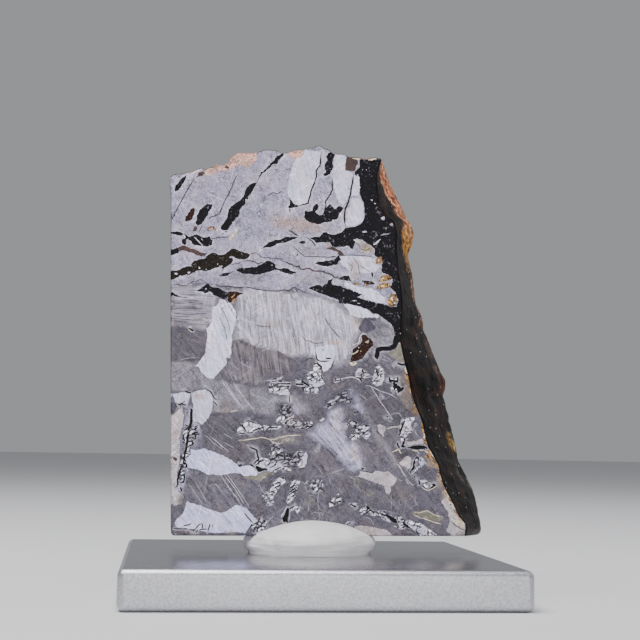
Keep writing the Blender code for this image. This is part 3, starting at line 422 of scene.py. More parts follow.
# Pale flecks, crystals and small bright plates, most of them between black strokes
FLECKS = (
    Patches(Mineral.FLECK, """2.4,40.55 2.7,40.6 3.1,40.5 2.7,40.35; 2.3,39.9 2.6,39.95 2.6,39.8;
        5,33.3 5.3,33.35 5.3,33.2; 5.8,33.6 6.2,33.95 6.6,33.7; 13.95,36.85 14.2,36.85 14.2,36.65;
        4.1,36.3 4.3,36.2 4.3,35.95 4.1,36.05; 5,36.05 5.2,36.05 5.15,35.85; 6.6,36.75 6.8,36.7
        6.75,36.5; 6.9,36.45 7.3,36.4 7.2,36.25 6.9,36.3; 7.05,35.7 7.2,35.65 7.1,35.5; 8.4,37.8
        8.6,37.75 8.55,37.6; 8.7,37.4 9.2,37.6 9.7,37.5 9.4,37.1 8.9,37.1; 0.5,35.97 1.6,35.93 1.6,35.8
        0.5,35.82; 2.6,35.5 3,35.5 2.9,35.3 2.6,35.3; 0.8,35.3 1.3,35.3 1.2,35.1 0.8,35.1; 23.9,33.75
        24.1,33.7 24.05,33.55; 25.2,32.35 25.9,32.25 25.6,32.15; 25.9,31.9 26.4,31.85 26.3,31.75;
        27.4,32.3 27.6,32.2 27.5,32.1; 28.5,32 28.7,31.95 28.6,31.8; 25.65,49.9 25.85,49.85 25.8,49.7;
        26.4,50.7 26.6,50.6 26.5,50.5; 26.9,50.7 27.1,50.65 27,50.45; 28.1,46 28.3,45.9 28.2,45.75;
        27.7,46.5 27.9,46.4 27.8,46.2; 28,40.1 28.3,40.3 28.6,40.7 29.2,41 28.8,40.6 28.4,40.1; 29,41.5
        29.6,41.75 30.5,41.8 30,41.55; 29.1,43.9 29.5,44.1 29.7,43.7 29.3,43.6; 30.3,43.1 30.7,43.3
        30.9,42.9 30.4,42.8; 29.6,42.5 30,42.6 29.9,42.2; 26.5,41.9 27,42.1 27.2,41.9 26.8,41.7;
        22.45,35 23.2,35.1 23.9,34.95 23.9,34.4 23.2,34.35 22.45,34.5"""),
    Patches(Mineral.GOLD, """30.1,32.1 30.3,32.9 30.9,33.4 31.5,33.2 31.6,32.4 31.3,31.7 30.6,31.5;
        28.7,35 29.4,35.9 30.4,36 30.9,35.4 30,35.1; 28.5,34 29.2,34.8 30.4,34.9 30.6,34.3 29.7,34;
        28.4,37.3 28.6,38.4 29.3,38.5 29.4,37.7; 25.3,34.5 25.6,34.8 26.2,34.6 26,34.35; 26.6,34.4
        27.2,34.6 27.6,34.3; 8.5,32.1 8.8,32.5 9.1,32.6 8.9,32.2; 8.6,31.6 8.9,32 9.3,32.05 9,31.7;
        5,41.3 5.3,41.9 6,41.95 6.3,41.5 6,41.2 5.8,41.4 5.9,41.7 5.4,41.6 5.3,41.25"""),
    Patches(Mineral.CREAM, """30.5,32.6 30.7,33 31,32.9 30.9,32.4; 30.9,32 31.2,32.3 31.3,31.9;
        29.2,35.4 29.6,35.7 29.7,35.4; 29.2,34.3 29.5,34.6 29.8,34.3; 28.7,37.9 28.9,38.2 29,37.8;
        26.2,39.2 26.5,39.8 27.2,39.9 27.9,39.5 27.6,39 26.8,38.9; 25.5,40.6 26.1,40.65 26.5,40.3
        26,40; 25.2,24.9 25.6,24.95 26,25.3 26.2,25.4 26,25.1 25.5,24.75; 32.7,22.3 32.75,22.9
        32.95,23.2 33.2,22.8 33.15,22.3; 33.35,21 33.55,20.8 33.4,20.6; 33.6,19.5 33.8,19.4 33.7,19.2;
        33.9,19.1 34.1,18.9 34,18.8; 34.3,17.8 34.6,17.6 34.7,17.3 34.4,17.5; 34.9,16.7 35.1,16.6
        35.3,16.1 35.4,15.9 35.3,15.6 35.1,15.8 34.95,16.2; 36.5,10.8 37,10.5 37.3,10.2 37.2,10
        36.7,10.2 36.4,10.6; 37.9,8.9 38.1,8.85 38,8.6; 38,6.3 38.3,6.2 38.1,6; 39.3,3 39.5,2.8 40,2.4
        40.6,2.3 41.1,2 41.2,1.6 40.6,1.5 40,1.9 39.5,2.3; 24.95,23.6 25.3,23.75 25.4,23.5 25.8,23.8
        26,23.7 25.9,23.4 25.4,23.25 25.1,23.4; 26.1,25.85 26.3,25.8 26.2,25.65; 26.4,25.4 26.6,25.3
        26.5,25.15; 27.1,26.5 27.4,26.75 27.7,26.7 27.5,26.4; 33.7,23.95 33.9,23.95 33.9,23.65
        33.75,23.65"""),
    Patches(Mineral.GOLD, """36.9,10 37.4,9.8 37.5,9.4 37.1,9.5; 35.6,11.2 36.2,11.3 36.6,10.9 36,10.6;
        37.4,8.7 37.8,8.9 37.9,8.3 37.5,8.2"""),
    Patches(Mineral.SILVER, """14,19.9 15.3,20 16.4,19.9 16.9,19.4 16.8,19.1 15.9,19.05 15.2,19.2
        14.2,19.35 13.95,19.6; 20.2,20.1 20.7,20.1 20.7,19.3 20.2,19.4; 18.8,20 19.5,20.1 19.4,19.3
        18.9,19.4; 23.3,21.4 23.9,21.5 23.8,21.2 23.3,21.2; 28.4,22.9 28.7,23.2 29.1,23.4 29.5,23.1
        29.8,22.6 29.75,22 29.85,21.5 29.6,21.2 29.5,20.8 29.2,20.6 28.7,20.65 28.2,20.95 28.1,21.3
        28.4,21.5 28.3,22.1 28.5,22.5; 25.85,22.5 26.2,22.85 26.7,22.9 26.85,22.6 26.6,22.4; 27,22.1
        27.4,22.25 27.9,22.1 27.8,21.9 27.3,21.85; 20,23.2 20.6,23.4 21,22.9 21,22.2 21.3,21.2
        21.6,20.7 20.9,20.4 20,20.2 19.5,20.6 19.2,21.2 19.3,22 19.6,22.4 20,22.4; 30.65,21.7 31.1,21.6
        31.2,21.45 30.7,21.45; 30.7,21.25 31.2,21.15 31.1,20.95 30.75,21; 31.25,21.6 31.6,21.6
        31.6,21.4 31.25,21.4; 31.4,21.1 31.6,21.1 31.55,20.9; 32.1,20.6 32.5,20.5 32.4,20.35 32.1,20.4;
        31.4,20.2 31.7,20.3 31.75,19.8 31.5,19.75; 30.8,20.5 31.1,20.3 31.1,19.85 30.8,19.9"""),
    Patches(Mineral.SILVER, """9.85,13.85 9.85,14.2 9.95,14.5 10.4,14.95 10.6,14.6 10.7,14.2
        10.9,13.85; 10.5,15 10.9,15.25 11.5,15.3 12,15.2 13,14.95 14,14.85 15,14.85 16,14.8 16,14.6
        14,14.2 12.4,14.1 11,14; 15,15.4 15.3,16 15.9,16.3 16.3,16 16.1,15.1; 18.8,15.3 19.3,15.6
        19.9,15.5 20.1,15.1 19.5,15; 21,15.65 21.3,16 21.7,16.1 21.6,15.85 21.2,15.6; 19,11.5 19.4,11.1
        19.35,10.5 19.3,9.9 19.1,9.45 18.7,9.3 18.2,9.35 18,9.7 18.4,10 18.8,10.1 18.7,10.5 19,11;
        12.3,9.7 13,10.5 13.9,10.4 14.9,9.9 15.8,9.8 16.3,9.3 15.2,8.6 14,8.7 13.9,9.2 13.2,9.2
        12.5,9.45; 14,11.1 15.2,11.6 15.9,11.7 15.8,11.3 15.2,11.1 14.5,10.8; 15.4,10.8 15.7,10.8
        15.6,10.4 15.4,10.4; 16.3,9.3 17.4,9.2 17.2,8.8 16.4,8.9; 25,15.4 25.2,15.6 25.7,15.6
        25.95,15.3 25.7,15 25.3,15; 27,15.1 27.8,15.15 28,14.9 27.5,14.5 27.2,14.3 26.7,14.3 26.7,14.7
        26.3,14.9; 26.9,13.7 27.3,13.9 28,14.2 28,13.7 27.6,13.3 27.2,13.3; 25.2,13.5 25.3,13.9
        25.8,13.9 26.2,13.4 25.9,13.1 25.5,13; 25.4,14.6 25.7,14.85 25.8,14.7"""),
    Patches(Mineral.SILVER, """14.8,7.2 15.6,7.9 16.3,7.7 16.6,7.4 16.1,7 15.8,6.7 15.4,6.2 15.1,5.6
        14.8,5.1 14.1,5.1 14,5.5 14.3,6 14.4,6.4 15,6.9; 13.9,4.5 14.2,4.8 14.5,5 14.9,4.7 15.1,4.5
        14.7,4.2 14.3,4.1; 17.3,7.3 17.7,7.6 18.5,7.5 18.3,7.1 18.1,6.6 18.2,6.2 17.9,5.7 17.7,5.2
        17.2,4.7 16.8,4.4 16.6,4.6 16.8,5.3 17,5.8 17.2,6.3 17.1,6.8; 20.2,6.9 20.7,7.1 21,6.5 20.7,6.1
        20.4,6.2; 18.7,7.4 18.9,7.4 18.9,7.2; 17.1,3.5 17.6,3.9 18,4.1 18.3,3.9 18.5,3.5 18.3,3.1
        18,3.4 17.6,3.5 17.2,3.2; 22.5,4.85 22.7,5.15 23.2,5.1 23.8,5.2 24.2,5.3 24,5 23.7,4.9 23.3,4.7
        23.1,4.4 22.9,4.7; 22.4,4.5 22.5,4.7 22.9,4.5 23.1,4.2 22.8,4 22.5,4.1; 25.4,4.5 26,4.6
        26.4,4.65 26.2,4.35 25.9,4 25.5,4.05; 26.6,3.3 26.8,3.8 27.2,4 27.5,4.05 27.65,3.6 27.45,3.2
        27.3,3.05 26.7,3.1; 28,3.5 28.5,3.4 29,3.4 29.2,3 28.6,2.9 28.1,3; 29.4,2.7 29.8,2.9 30.3,2.8
        30.7,2.5 30.9,2.3 30.7,2 30.3,2.2 29.9,2.4; 31.9,2.8 32.3,2.9 32.7,2.7 32.4,2.2 31.95,2.2;
        33,2.3 33.6,2.4 34.1,2.1 34.8,2 35.4,1.8 36,1.4 36.6,1 37.2,0.6 37.3,0.3 35,0.4 34.5,0.8 34,1.2
        33.5,1.6 33.3,1.8; 31.3,1.5 32.4,1.6 33.2,1.3 32.4,1.15; 23.3,5.6 23.5,5.95 23.8,5.8 23.75,5.5;
        13.3,1.5 13.8,1.9 14.2,2.1 14,1.8 13.5,1.4; 12,1.2 12.4,1.5 12.7,1.7 12.6,1.3; 12.8,0.9
        13.4,1.35 13.9,1.1 13.7,0.4 12.9,0.2; 24.6,1.5 24.8,1.9 25.1,2.1 25.6,2.15 25.4,1.9"""),
    Patches(Mineral.SILVER, """32.9,16.4 33.5,16.4 34,16.4 34.1,16 33.6,15.5 33.5,15 33.9,14.6
        33.6,14.2 33.1,14.1 33.1,13.8 32.8,13.6 32.1,13.9 32.3,14.6 32.6,15.3 32.8,16; 31.9,12.75
        32.2,12.75 32.2,12.45 31.95,12.45; 32.2,13.5 32.6,13.5 32.6,13 32.2,12.95; 34.3,10.6 34.5,10.7
        34.7,10.5 34.5,10.2 34.3,10.2; 34.4,9.7 34.3,9.2 34,8.9 33.6,8.55 33.5,8.4 33.9,8.6 34.3,8.9
        34.6,9.3 34.6,9.7; 34.9,10.8 35.2,11 35.6,10.5 35.9,10.1 35.5,10 35.2,9.7 34.7,9.4 34.8,10;
        33.7,8.4 34,8.4 34,8.2 33.7,8.2; 35,7.8 35.6,7.85 36,7.6 36.6,7.4 36.6,7.1 36.3,6.9 35.9,6.7
        35.4,7 35.1,7.2; 13.3,5.4 13.6,5.5 13.9,5.2 13.6,5"""),
)

# Lines: width in millimetres, then the points
STROKES = (
    Lines(Mineral.SEAM, """0.16 0.2,42.4 1,44.2 2,46.3 3.2,48.5; 0.14 6.6,43.5 7.4,45.5 8,46.6 8.7,48.5
        9.2,49.3; 0.14 5.2,42.8 5.6,43.2 6.2,43.4 6.8,43.8 7.1,44.5; 0.14 13.2,46.4 14,46.9 14.6,46.7
        15.3,47.2; 0.12 4.4,42 4,41; 0.13 5.6,40.2 6.2,40.25 6.6,40.4 7.3,40.45 8,40.45; 0.1 0.7,33.5
        1,33.75 1.7,33.7 1.95,33.55 2.5,33.7 3,34 3.3,34.2 3.9,34.3 4.2,34.5 4.7,34.45 5.1,34.15
        5.4,33.95; 0.14 6.2,34 6.5,33.9 6.9,33.6 7.4,33.7 8.2,33.75 9,33.65 9.6,33.6 10.4,33.7
        11.2,33.6 11.9,33.4 12.5,33.35 13.6,33.25 15,33.25 15.4,33.35 15.9,33.5 16.4,33.35 16.7,33.55
        17,33.75 17.25,33.85 17.5,33.65 18.1,33.5 18.5,33.3 18.8,33; 0.08 2,31.65 4.2,31.65; 0.08
        0.7,31.2 2.5,31.2; 0.08 2,30.85 4,30.8; 0.12 12,38.45 12.15,38.3 12.4,38 12.7,37.85 13.5,37.8
        14.5,37.75 15.3,37.7 15.9,37.65; 0.12 16.6,39.7 17.2,39.3 17.7,38.85 18.2,38.4 18.6,38.15
        20,38.2 21.6,38.15 23,38.2; 0.1 16.6,33 16.8,32.6 17.1,32.2 17.5,32.05; 0.1 25.1,38.45 25.5,38
        25.9,37.5 26.05,37.1 26.15,36.5 26.2,36.1 26.5,35.6; 0.09 26.2,37.2 27,36.7 27.7,36.3; 0.12
        23.3,38.35 24,38.5 25,38.55 27,38.5 28.3,38.35; 0.12 21.4,29.9 22,28.9 22.7,28 23.3,27.3
        23.9,26.9; 0.12 18.2,27.3 18.6,26.9 18.9,26.55 19.5,26.5 20,26.2 20.7,26.25 21.4,26.35; 0.1
        12,28.6 12.4,28.4 13.2,28.3 14.1,28.35; 0.1 18.2,23.6 18.6,23.6 19,23.85 19.5,24.15 20,24.1;
        0.08 15.1,25.2 15.5,22; 0.08 17,27.7 17.6,25.8; 0.12 5.3,27.9 6,28.9; 0.1 9.2,30 9.5,29.9
        9.3,29.2; 0.12 8.2,31.3 8.8,30.2; 0.1 7.3,30.8 8.2,29 8.6,27.4; 0.1 7,29.6 7.8,28 8.2,26.2;
        0.09 27.4,30 27.9,29.7 28.6,29.75; 0.1 28.7,14.5 29.2,14.1 29.6,13.7; 0.12 27.1,8.95 28.2,8.7
        28.4,8.75 28.7,9.05; 0.12 22.85,24 22.6,23.2 22.3,22.5; 0.1 2.5,31.4 5,31.2; 0.1 0.6,29.8
        3,29.7 5.4,29.9; 0.08 0.6,29.1 3.4,29; 0.1 22,11.9 23.3,10.6; 0.1 22.4,12.2 23.6,11"""),
    Lines(Mineral.BROWN, """0.2 15.1,37.55 15.6,37.4 16.1,37.25 16.5,37.05 16.9,36.95 17.1,36.75
        17.9,36.75 18,36.4 18.4,36.35 18.8,36.5 19.3,36.5 19.5,36.3 19.9,36.15 20.5,36.2 21.2,36.15
        21.6,35.95 22.1,35.85 22.5,35.65 22.65,35.35 23.2,35.35 23.6,35.2 24,35.5; 0.15 11,38.25
        12,38.45; 0.14 9.9,37.25 10.3,37.3 11,37.3 11.7,37.25 12,36.95 12.3,36.9 12.5,37.1 12.9,37.2;
        0.12 8.4,36.75 9.1,36.8 9.6,36.95 9.9,37.2; 0.1 24.5,37.6 25.2,37 25,36.2; 0.14 39.3,2.3
        39.8,1.8 40.3,1.5 41,1.15 41.3,1.05; 0.12 37.3,5.8 37.8,6; 0.12 26.2,39.5 26.9,39.3 27.6,39.5;
        0.1 26.6,38.9 26.9,39.3 27,39.8"""),
    Lines(Mineral.CRACK, """0.16 25.2,50 25.1,49 24.9,48 24.8,47 24.5,46 24.1,45 24,44.4 24,43.3
        24.2,42.5; 0.14 20.6,52.9 20.5,51 19.9,50.2 20,49.4 19.7,48.4 19.3,47.4 19.1,46.5 18.9,45.6
        17.9,45.3 17.2,45.2; 0.13 22.2,49.1 22.2,48.3 22.3,47.7 22,47 21.6,46.4 21.3,45.9 21.4,45.3
        21.1,44.3; 0.1 11.1,51.9 11.4,51.9; 0.12 18.7,40.85 19.1,40.6 19.6,40.3 19.9,39.9 20.05,39.5;
        0.1 17.5,41 16.9,41.4 16.2,41.8; 0.09 16.9,41.35 17.8,41; 0.1 21.3,37.9 21.6,37.9; 0.1
        22.2,38.3 22.9,38.3; 0.2 2.9,27.85 3.65,27.45; 0.1 7.5,41.2 8,41.2; 0.1 7,40.9 7.5,40.9; 0.2
        27.95,36.3 28,35.6; 0.13 16.35,44.8 16.4,44.2"""),
    Lines(Mineral.CRACK, """0.12 5.3,19.9 5.55,19.6 5.9,19.45 6.15,19.2 6.4,18.95 6.45,18.6 6.8,18.3
        7.1,18.2; 0.1 6.4,18 6.8,17.7 7.1,17.3; 0.09 2.2,17.55 2.8,18; 0.12 1.65,17.45 2.2,17.55
        2.9,17.4; 0.08 2.1,17.9 2.2,17.55 2,17.1; 0.25 3.45,17 3.6,16.7 3.55,16.3 3.6,15.9 3.6,15.4
        3.5,14.8 3.4,14.5 3.2,14; 0.12 3.3,16.8 3.5,17 3.8,16.65; 0.12 2.8,16.4 3.2,16.35; 0.12
        2.8,14.85 2.95,14.7 3.2,14.65; 0.12 3.4,14.5 3.1,14.3 2.8,14; 0.12 2.85,13.6 2.6,13.3 2.5,12.9
        2.8,12.8 2.7,12.5 2.4,12.4; 0.12 3.7,13.5 4.1,13.7 4.6,13.9; 0.12 4.1,13.7 4.25,13.4 4.2,13
        4.1,12.8; 0.1 4.3,13.4 4.7,13.6; 0.1 3.9,14.1 4.5,14.5; 0.1 4,14.5 4.6,14.7; 0.12 3.5,12.6
        3.85,12.55 3.95,12.25 3.7,12.05 3.3,12.15; 0.12 3,11.5 2.9,11 3.3,10.9 3.6,10.8; 0.2 3.2,14
        3.15,13 3.1,12.2 3,11.5 2.85,11 2.75,10.4 2.7,10 2.6,9.65; 0.22 2.6,9.65 3.1,9.55; 0.18 3.1,9.6
        3.1,9; 0.17 2.6,9.6 2.4,9.1 2.25,8.6 2.1,8 2,7.5 2,6.7 1.7,6.35; 0.15 2.9,8.2 2.85,7.6 2.8,7.2
        2.6,6.9; 0.1 2.4,9.2 2.9,9.1; 0.1 2.3,8.4 2.9,8.7; 0.1 2.2,7.7 2.8,8.1; 0.15 2.35,6.5 2.45,6.2
        2.65,5.8; 0.1 2.9,1.35 3.3,1.4 3.7,1.5 4,1.7; 0.1 3.5,0.9 4,0.75 4.4,0.85 4.7,1.2 4.95,1.5
        5.3,1.6 5.4,1.7; 0.12 5.35,1.7 5.45,1.4 5.4,0.9; 0.1 4.95,0.7 5.3,0.9 5.8,0.9 6.1,0.85; 0.08
        4.2,0.8 4.25,0.5; 0.08 4.6,0.4 4.85,0.9; 0.11 6.4,1.7 6.35,1.3 6.25,0.95 6.15,0.5; 0.11 6.8,1.6
        6.8,1.1; 0.1 1.5,1 3,0.95 3.6,0.9"""),
    Lines(Mineral.CRACK, """0.16 11.4,12 12,11.75 12.5,11.55 12.55,11.1 12.65,10.7 12.8,10.4 12.6,10.15
        12.2,9.8 12.05,9.7; 0.17 10.05,9.6 10.2,9.3 10.5,9.45 10.3,9.7; 0.18 11.6,9.65 11.9,9.4
        12.2,9.35; 0.14 12.4,9.5 13.1,10.1; 0.14 13.9,9.5 14.4,9.9; 0.12 14.3,9.2 14.8,9.4 15.2,9.85;
        0.1 15.2,9 15.9,9.35; 0.24 16,9.1 16.25,9.1; 0.1 12.9,9.9 13.6,10.3; 0.1 14.9,8.9 15.6,9.1;
        0.14 10.4,15 10.6,14.7 10.85,14.4 11,14; 0.12 9.95,13.75 10.85,13.72; 0.1 11.1,13.95 11.4,13.8
        12,14; 0.1 10.9,15.4 11.5,15.5 12,15.2 12.4,15.1; 0.15 11.9,14.1 12.3,14.25 12.9,14.5
        13.5,14.6; 0.12 13.7,14.35 14.3,14.6 15,14.65 15.5,14.6; 0.12 16.2,15.1 16.7,15.7; 0.12
        16.9,15.1 17.4,15.4; 0.2 18.8,15 19,15; 0.15 19.2,14.85 19.6,14.8 20,14.95; 0.12 14.9,7.05
        15.9,7.35; 0.12 14.9,6.5 15.8,6.9; 0.1 14.2,5.85 15.2,6.2; 0.1 14.1,5.5 15,5.8; 0.2 16.15,8
        16.15,7.65; 0.14 15.75,7.5 15.95,7.5; 0.12 17.1,6.5 17.9,7.2; 0.12 17,5.9 17.9,6.6; 0.12
        16.9,5.5 18,6.3; 0.1 17.2,5.3 17.8,5.7; 0.1 16.7,4.9 17.2,5.1; 0.12 20.1,6.7 20.3,6.4
        20.45,6.1; 0.22 13.95,5 14.1,4.95; 0.22 14.55,4.8 14.7,4.75; 0.12 14.15,4.4 14.25,4.1; 0.12
        17,3.65 17.4,3.9 17.75,4.1; 0.13 18,3.5 18.35,3.85; 0.25 18.7,2.05 18.95,2.05; 0.13 22.6,4.85
        22.9,4.6 23.2,4.3; 0.24 23.9,4.95 24,4.7; 0.1 22.9,5.35 23.3,5.35; 0.1 23.5,5.25 23.9,5.3; 0.16
        25.35,4.45 25.6,4.35 25.9,4.2 26.2,4; 0.24 27.55,4.15 27.75,4 28,3.75; 0.17 28,3.75 28.3,3.55
        28.5,3.45 28.9,3.45 29.15,3.25 29.4,3.2; 0.14 27.45,3.3 27.75,3.3; 0.14 28.55,3.4 28.5,3.05;
        0.1 30.1,2.35 30.3,2.6; 0.12 32.4,2.3 32.7,2.75; 0.12 34.4,1.7 34.8,1.6 35.1,1.35 35.3,1.5;
        0.12 34.5,1.3 34.45,0.9 34.7,0.65 35,0.5; 0.12 35.6,1 35.7,0.8; 0.14 36.1,1 36.2,0.9 36.1,0.6
        36.15,0.4; 0.1 24.75,1.5 25.1,1.8 25.6,2; 0.14 12.6,1.9 12.85,1.6 13.1,1.4 13.5,1.4; 0.2
        13.6,1.4 13.9,1.2; 0.1 12.9,0.9 12.8,0.5; 0.1 11.8,1.45 12.3,1.5; 0.12 11,3.1 11.5,2.5 12,2
        12.2,1.8; 0.1 13.1,0.8 13.6,1; 0.1 13,0.5 13.6,0.7"""),
    Lines(Mineral.CRACK, """0.12 20.25,25.1 20.35,24.6 20.45,24.1 20.8,23.8 21.4,23.75 22.3,23.85; 0.15
        21.6,24.2 22.5,24.2; 0.1 21.2,25.1 21.35,25.4 21.2,25.5; 0.2 20.4,23.5 20.7,23.3 21.05,23
        21.1,22.6; 0.11 21.1,22.6 21.2,22.1 21.15,21.7 21.35,21.3; 0.2 20.15,23.4 20.35,23.4; 0.1
        19.6,22 20.2,21.6 20.6,21.8; 0.12 19.4,21.3 20,21; 0.11 15.2,20.65 16.9,20.65; 0.1 15,20.25
        16.8,20.2; 0.26 14.15,20.4 14.35,20.4; 0.13 15.5,20 15.45,19.7 15.2,19.5; 0.1 17.6,20.55
        18.9,20.6; 0.14 18.4,21.1 18.9,20.7 19.3,20.5 19.6,20.2; 0.12 22.9,21.1 23.9,21.25; 0.2
        23,21.45 23.2,21.45; 0.12 22,17.9 22.4,18.05 23.2,17.95; 0.12 21.9,17.6 22.6,17.75; 0.1 16.8,18
        16.8,19; 0.16 29,23.5 29.1,23.45; 0.12 28.8,23 28.75,22.5 28.95,22.2 29.1,21.8; 0.1 28.2,21.15
        28.7,21.2 29,21.4 29.3,21.5; 0.1 29.2,22.3 29.6,22.25; 0.12 26,22.2 26.5,22.35 26.7,22.3
        26.8,22.9; 0.12 26.8,22.5 27,22.3 27.3,22.4; 0.1 27.2,21.8 27.9,21.95; 0.12 25.7,21.75
        26.3,21.6 26.6,21.4 26.8,21.1; 0.15 29.45,19 29.55,19; 0.15 31.25,23.6 31.35,23.6; 0.2
        25.75,17.05 25.95,16.75; 0.1 25,15.5 25.3,15.75 25.8,15.7 26.2,15.3; 0.28 26.2,14.45
        26.55,14.5; 0.13 26.8,14 27.2,14.15 27.5,14.3 27.7,14.5; 0.1 26.2,13.95 26.5,14.05 26.8,14; 0.1
        26.9,15.3 27.9,14.95; 0.12 25.2,13.3 25.9,13.8; 0.13 26.2,13.6 26.3,13.2; 0.1 24.7,15.3
        24.9,15.1; 0.2 30.2,16.5 30.45,16.35; 0.18 30.6,16.1 30.75,16; 0.16 32.75,15.9 32.7,15.6
        32.5,15.3 32.4,15 32.25,14.6 32.1,14.2 32,13.8; 0.12 32.8,15 33.2,15.02; 0.14 33.5,14.4
        33.8,14.5; 0.2 34,15.45 34.1,15.45; 0.17 31.75,12.9 31.8,12.5 32,12.2 32.15,12.1; 0.14 34.7,7.8
        34.85,7.6 34.8,7.3 35,7.15; 0.1 35.3,7.3 35.7,7.45 36.2,7.5; 0.12 35.3,7.1 35.6,6.8 35.9,6.65;
        0.13 34.1,8.4 34.2,8.1; 0.13 34.4,9.4 34.5,9.2; 0.2 35.85,10 36,10; 0.14 39.1,4.55 39.3,4.55;
        0.2 26.95,9.4 27.1,9.1; 0.14 28.5,1.4 28.65,1.4; 0.14 20.85,12.1 20.95,12.1; 0.14 20.7,11.75
        20.8,11.75"""),
    Lines(Mineral.SCRATCH, """0.13 9.1,20.6 9.8,19.7 10.6,18.6 11.5,17.5 12,17; 0.11 8,20.8 8.8,19.4
        9.6,18.3 10.6,17.1; 0.11 7.5,20.9 8.5,19.5 9.3,18.5 10.2,17.2; 0.12 7.3,8.7 7.8,8 8.4,7.1 9,6.3
        9.8,5.3 10.4,4.4 11,3.9; 0.1 8.2,8.1 9,7.2 10.3,5.4 10.9,4.3; 0.1 8.6,8.2 9.5,7 10.3,5.9 11,4.9
        11.6,4; 0.1 6.2,13.3 8.8,11.2; 0.1 5.6,11.4 6.6,10.7; 0.13 28,20.45 28.4,19.8 28.9,19.1
        29.3,18.4 29.9,17.7 30.3,17.1 30.6,16.7 30.9,16.3 31.1,16; 0.11 27.2,20.6 27.9,20.5 28.6,20.2
        29.3,19.85 30.2,19.65 31,19.3 31.7,18.9; 0.2 31.8,10 32.3,9.3 32.7,8.6 33.1,8; 0.11 33,8
        33.5,7.5 34,7.05; 0.1 32.9,7.9 33.4,7.2; 0.12 28.1,8.4 28.7,7.45; 0.16 3.3,40.35 4.6,39.2; 0.1
        4.25,40.2 4.55,39.9; 0.24 17,33.5 17.3,33.4 17.7,32.5; 0.16 14.9,21.1 15.9,21.6; 0.16
        13.6,20.95 14.6,21.05 15.5,21.1; 0.16 14.2,20.72 17,20.77; 0.14 15.3,20.42 17,20.42; 0.16
        17.7,20.4 18.9,20.3; 0.14 17.5,21.2 18.2,20.8; 0.14 22.9,20.95 23.6,21.05; 0.18 22.1,18.1
        22.5,18.4 23.3,18.6; 0.14 22.5,17.95 23.2,18.2; 0.14 22,17.25 22.7,17.6; 0.14 16.1,15.3
        16.6,15.8; 0.14 16.5,15.1 17,15.5; 0.16 16.9,14.95 17.8,15.4; 0.12 9.95,13.6 10.9,13.6; 0.12
        2.1,7 2.8,7.6; 0.12 2,6.6 2.6,7; 0.14 16.4,10.5 16.9,10.7; 0.15 16.9,9.9 17.3,10.35; 0.14
        17.6,11 18.2,11.5; 0.2 24.2,21.5 25,21.7 25.7,21.65 26.3,21.4 26.6,21; 0.13 25.7,21.95
        26.5,22.25 26.8,22.4; 0.13 27.3,21.65 27.95,21.8; 0.12 19,7.05 19.5,7.4; 0.14 21.2,7.3
        21.5,7.7; 0.16 15.9,2.5 16.1,2.9 16.4,3.3 16.5,3.7 16.8,4 17,4.05; 0.1 17.1,3.4 17.1,2.5 17,2"""),
    Lines(Mineral.GOLD, """0.55 32.75,23.2 32.95,22.2 33.3,21.2 33.6,20.2 33.9,19.2 34.3,18.2
        34.7,17.2; 0.4 35.1,15.6 35.4,14.6 35.6,13.6 35.9,12.6; 0.7 36,11.9 36.6,11 37.1,10.3 37.5,9.4;
        0.5 37.6,9.2 37.8,8.2 38.1,7.2; 0.35 38.3,6.8 38.9,5.7 39.6,4.5 40.2,3.4 40.9,2.3"""),
    Lines(Mineral.CREAM, """0.3 32.75,23.3 32.9,22.7 33.15,22.2; 0.16 33.3,21.5 33.6,20.4 33.85,19.4;
        0.3 34.2,18.2 34.6,17.4 34.9,16.8 35.2,16.2; 0.24 35.3,15.6 35.6,14.4 35.7,13.4; 0.3 36.3,11.8
        36.8,11.1 37.3,10.4; 0.2 37.7,8.6 37.9,7.8; 0.3 38.6,6.3 39,5.5; 0.3 39.4,4.8 39.9,3.9; 0.12
        9.9,12.8 10.8,12.85 12,13.05 13,13.25 13.5,13.2 14.2,13 15,13.05 15.4,13.3 16.2,13.4 16.8,13.6
        18,13.65 18.5,13.6; 0.1 14.2,13 14.6,12.7 15.2,12.5 16,12.6; 0.1 16.3,13 16.6,13.2 16.9,13
        16.6,12.8 16.3,13; 0.15 24.4,52.2 26,52.1 27,52 28.4,52.2; 0.14 31,11.6 31.4,11.65 31.8,11.95
        32,11.9 32.2,11.5 32.4,11.3; 0.12 33.8,11.85 34.4,11.8 34.7,11.6 34.8,11.3; 0.12 34.9,11.8
        35.5,11.9 36,11.5; 0.12 35.3,15.5 35.4,15 35.5,14.6 35.45,14 35.5,13.5; 0.1 35.1,7 35.5,6.6
        36.1,6.4 36.6,6.6 37.2,7; 0.12 34.1,3.1 35,2.7 36,2.5 37,2.1 38,1.9; 0.1 34,3.5 35,3.4 36,3.7
        37,3.1 38.2,2.8; 0.1 30.2,14.7 30.8,14.9 31.3,15 31.8,15 32.1,15.3 32.3,15.7; 0.12 2.8,27.7
        3.4,27.3; 0.35 8.1,40 8.6,40.7 9,41.2 9.2,41.8; 0.13 25.3,26 26.2,26.4 26.4,27.3 26.8,27.8;
        0.14 13.3,7.8 13.9,8.1; 0.16 8.9,16.7 9.8,16.9"""),
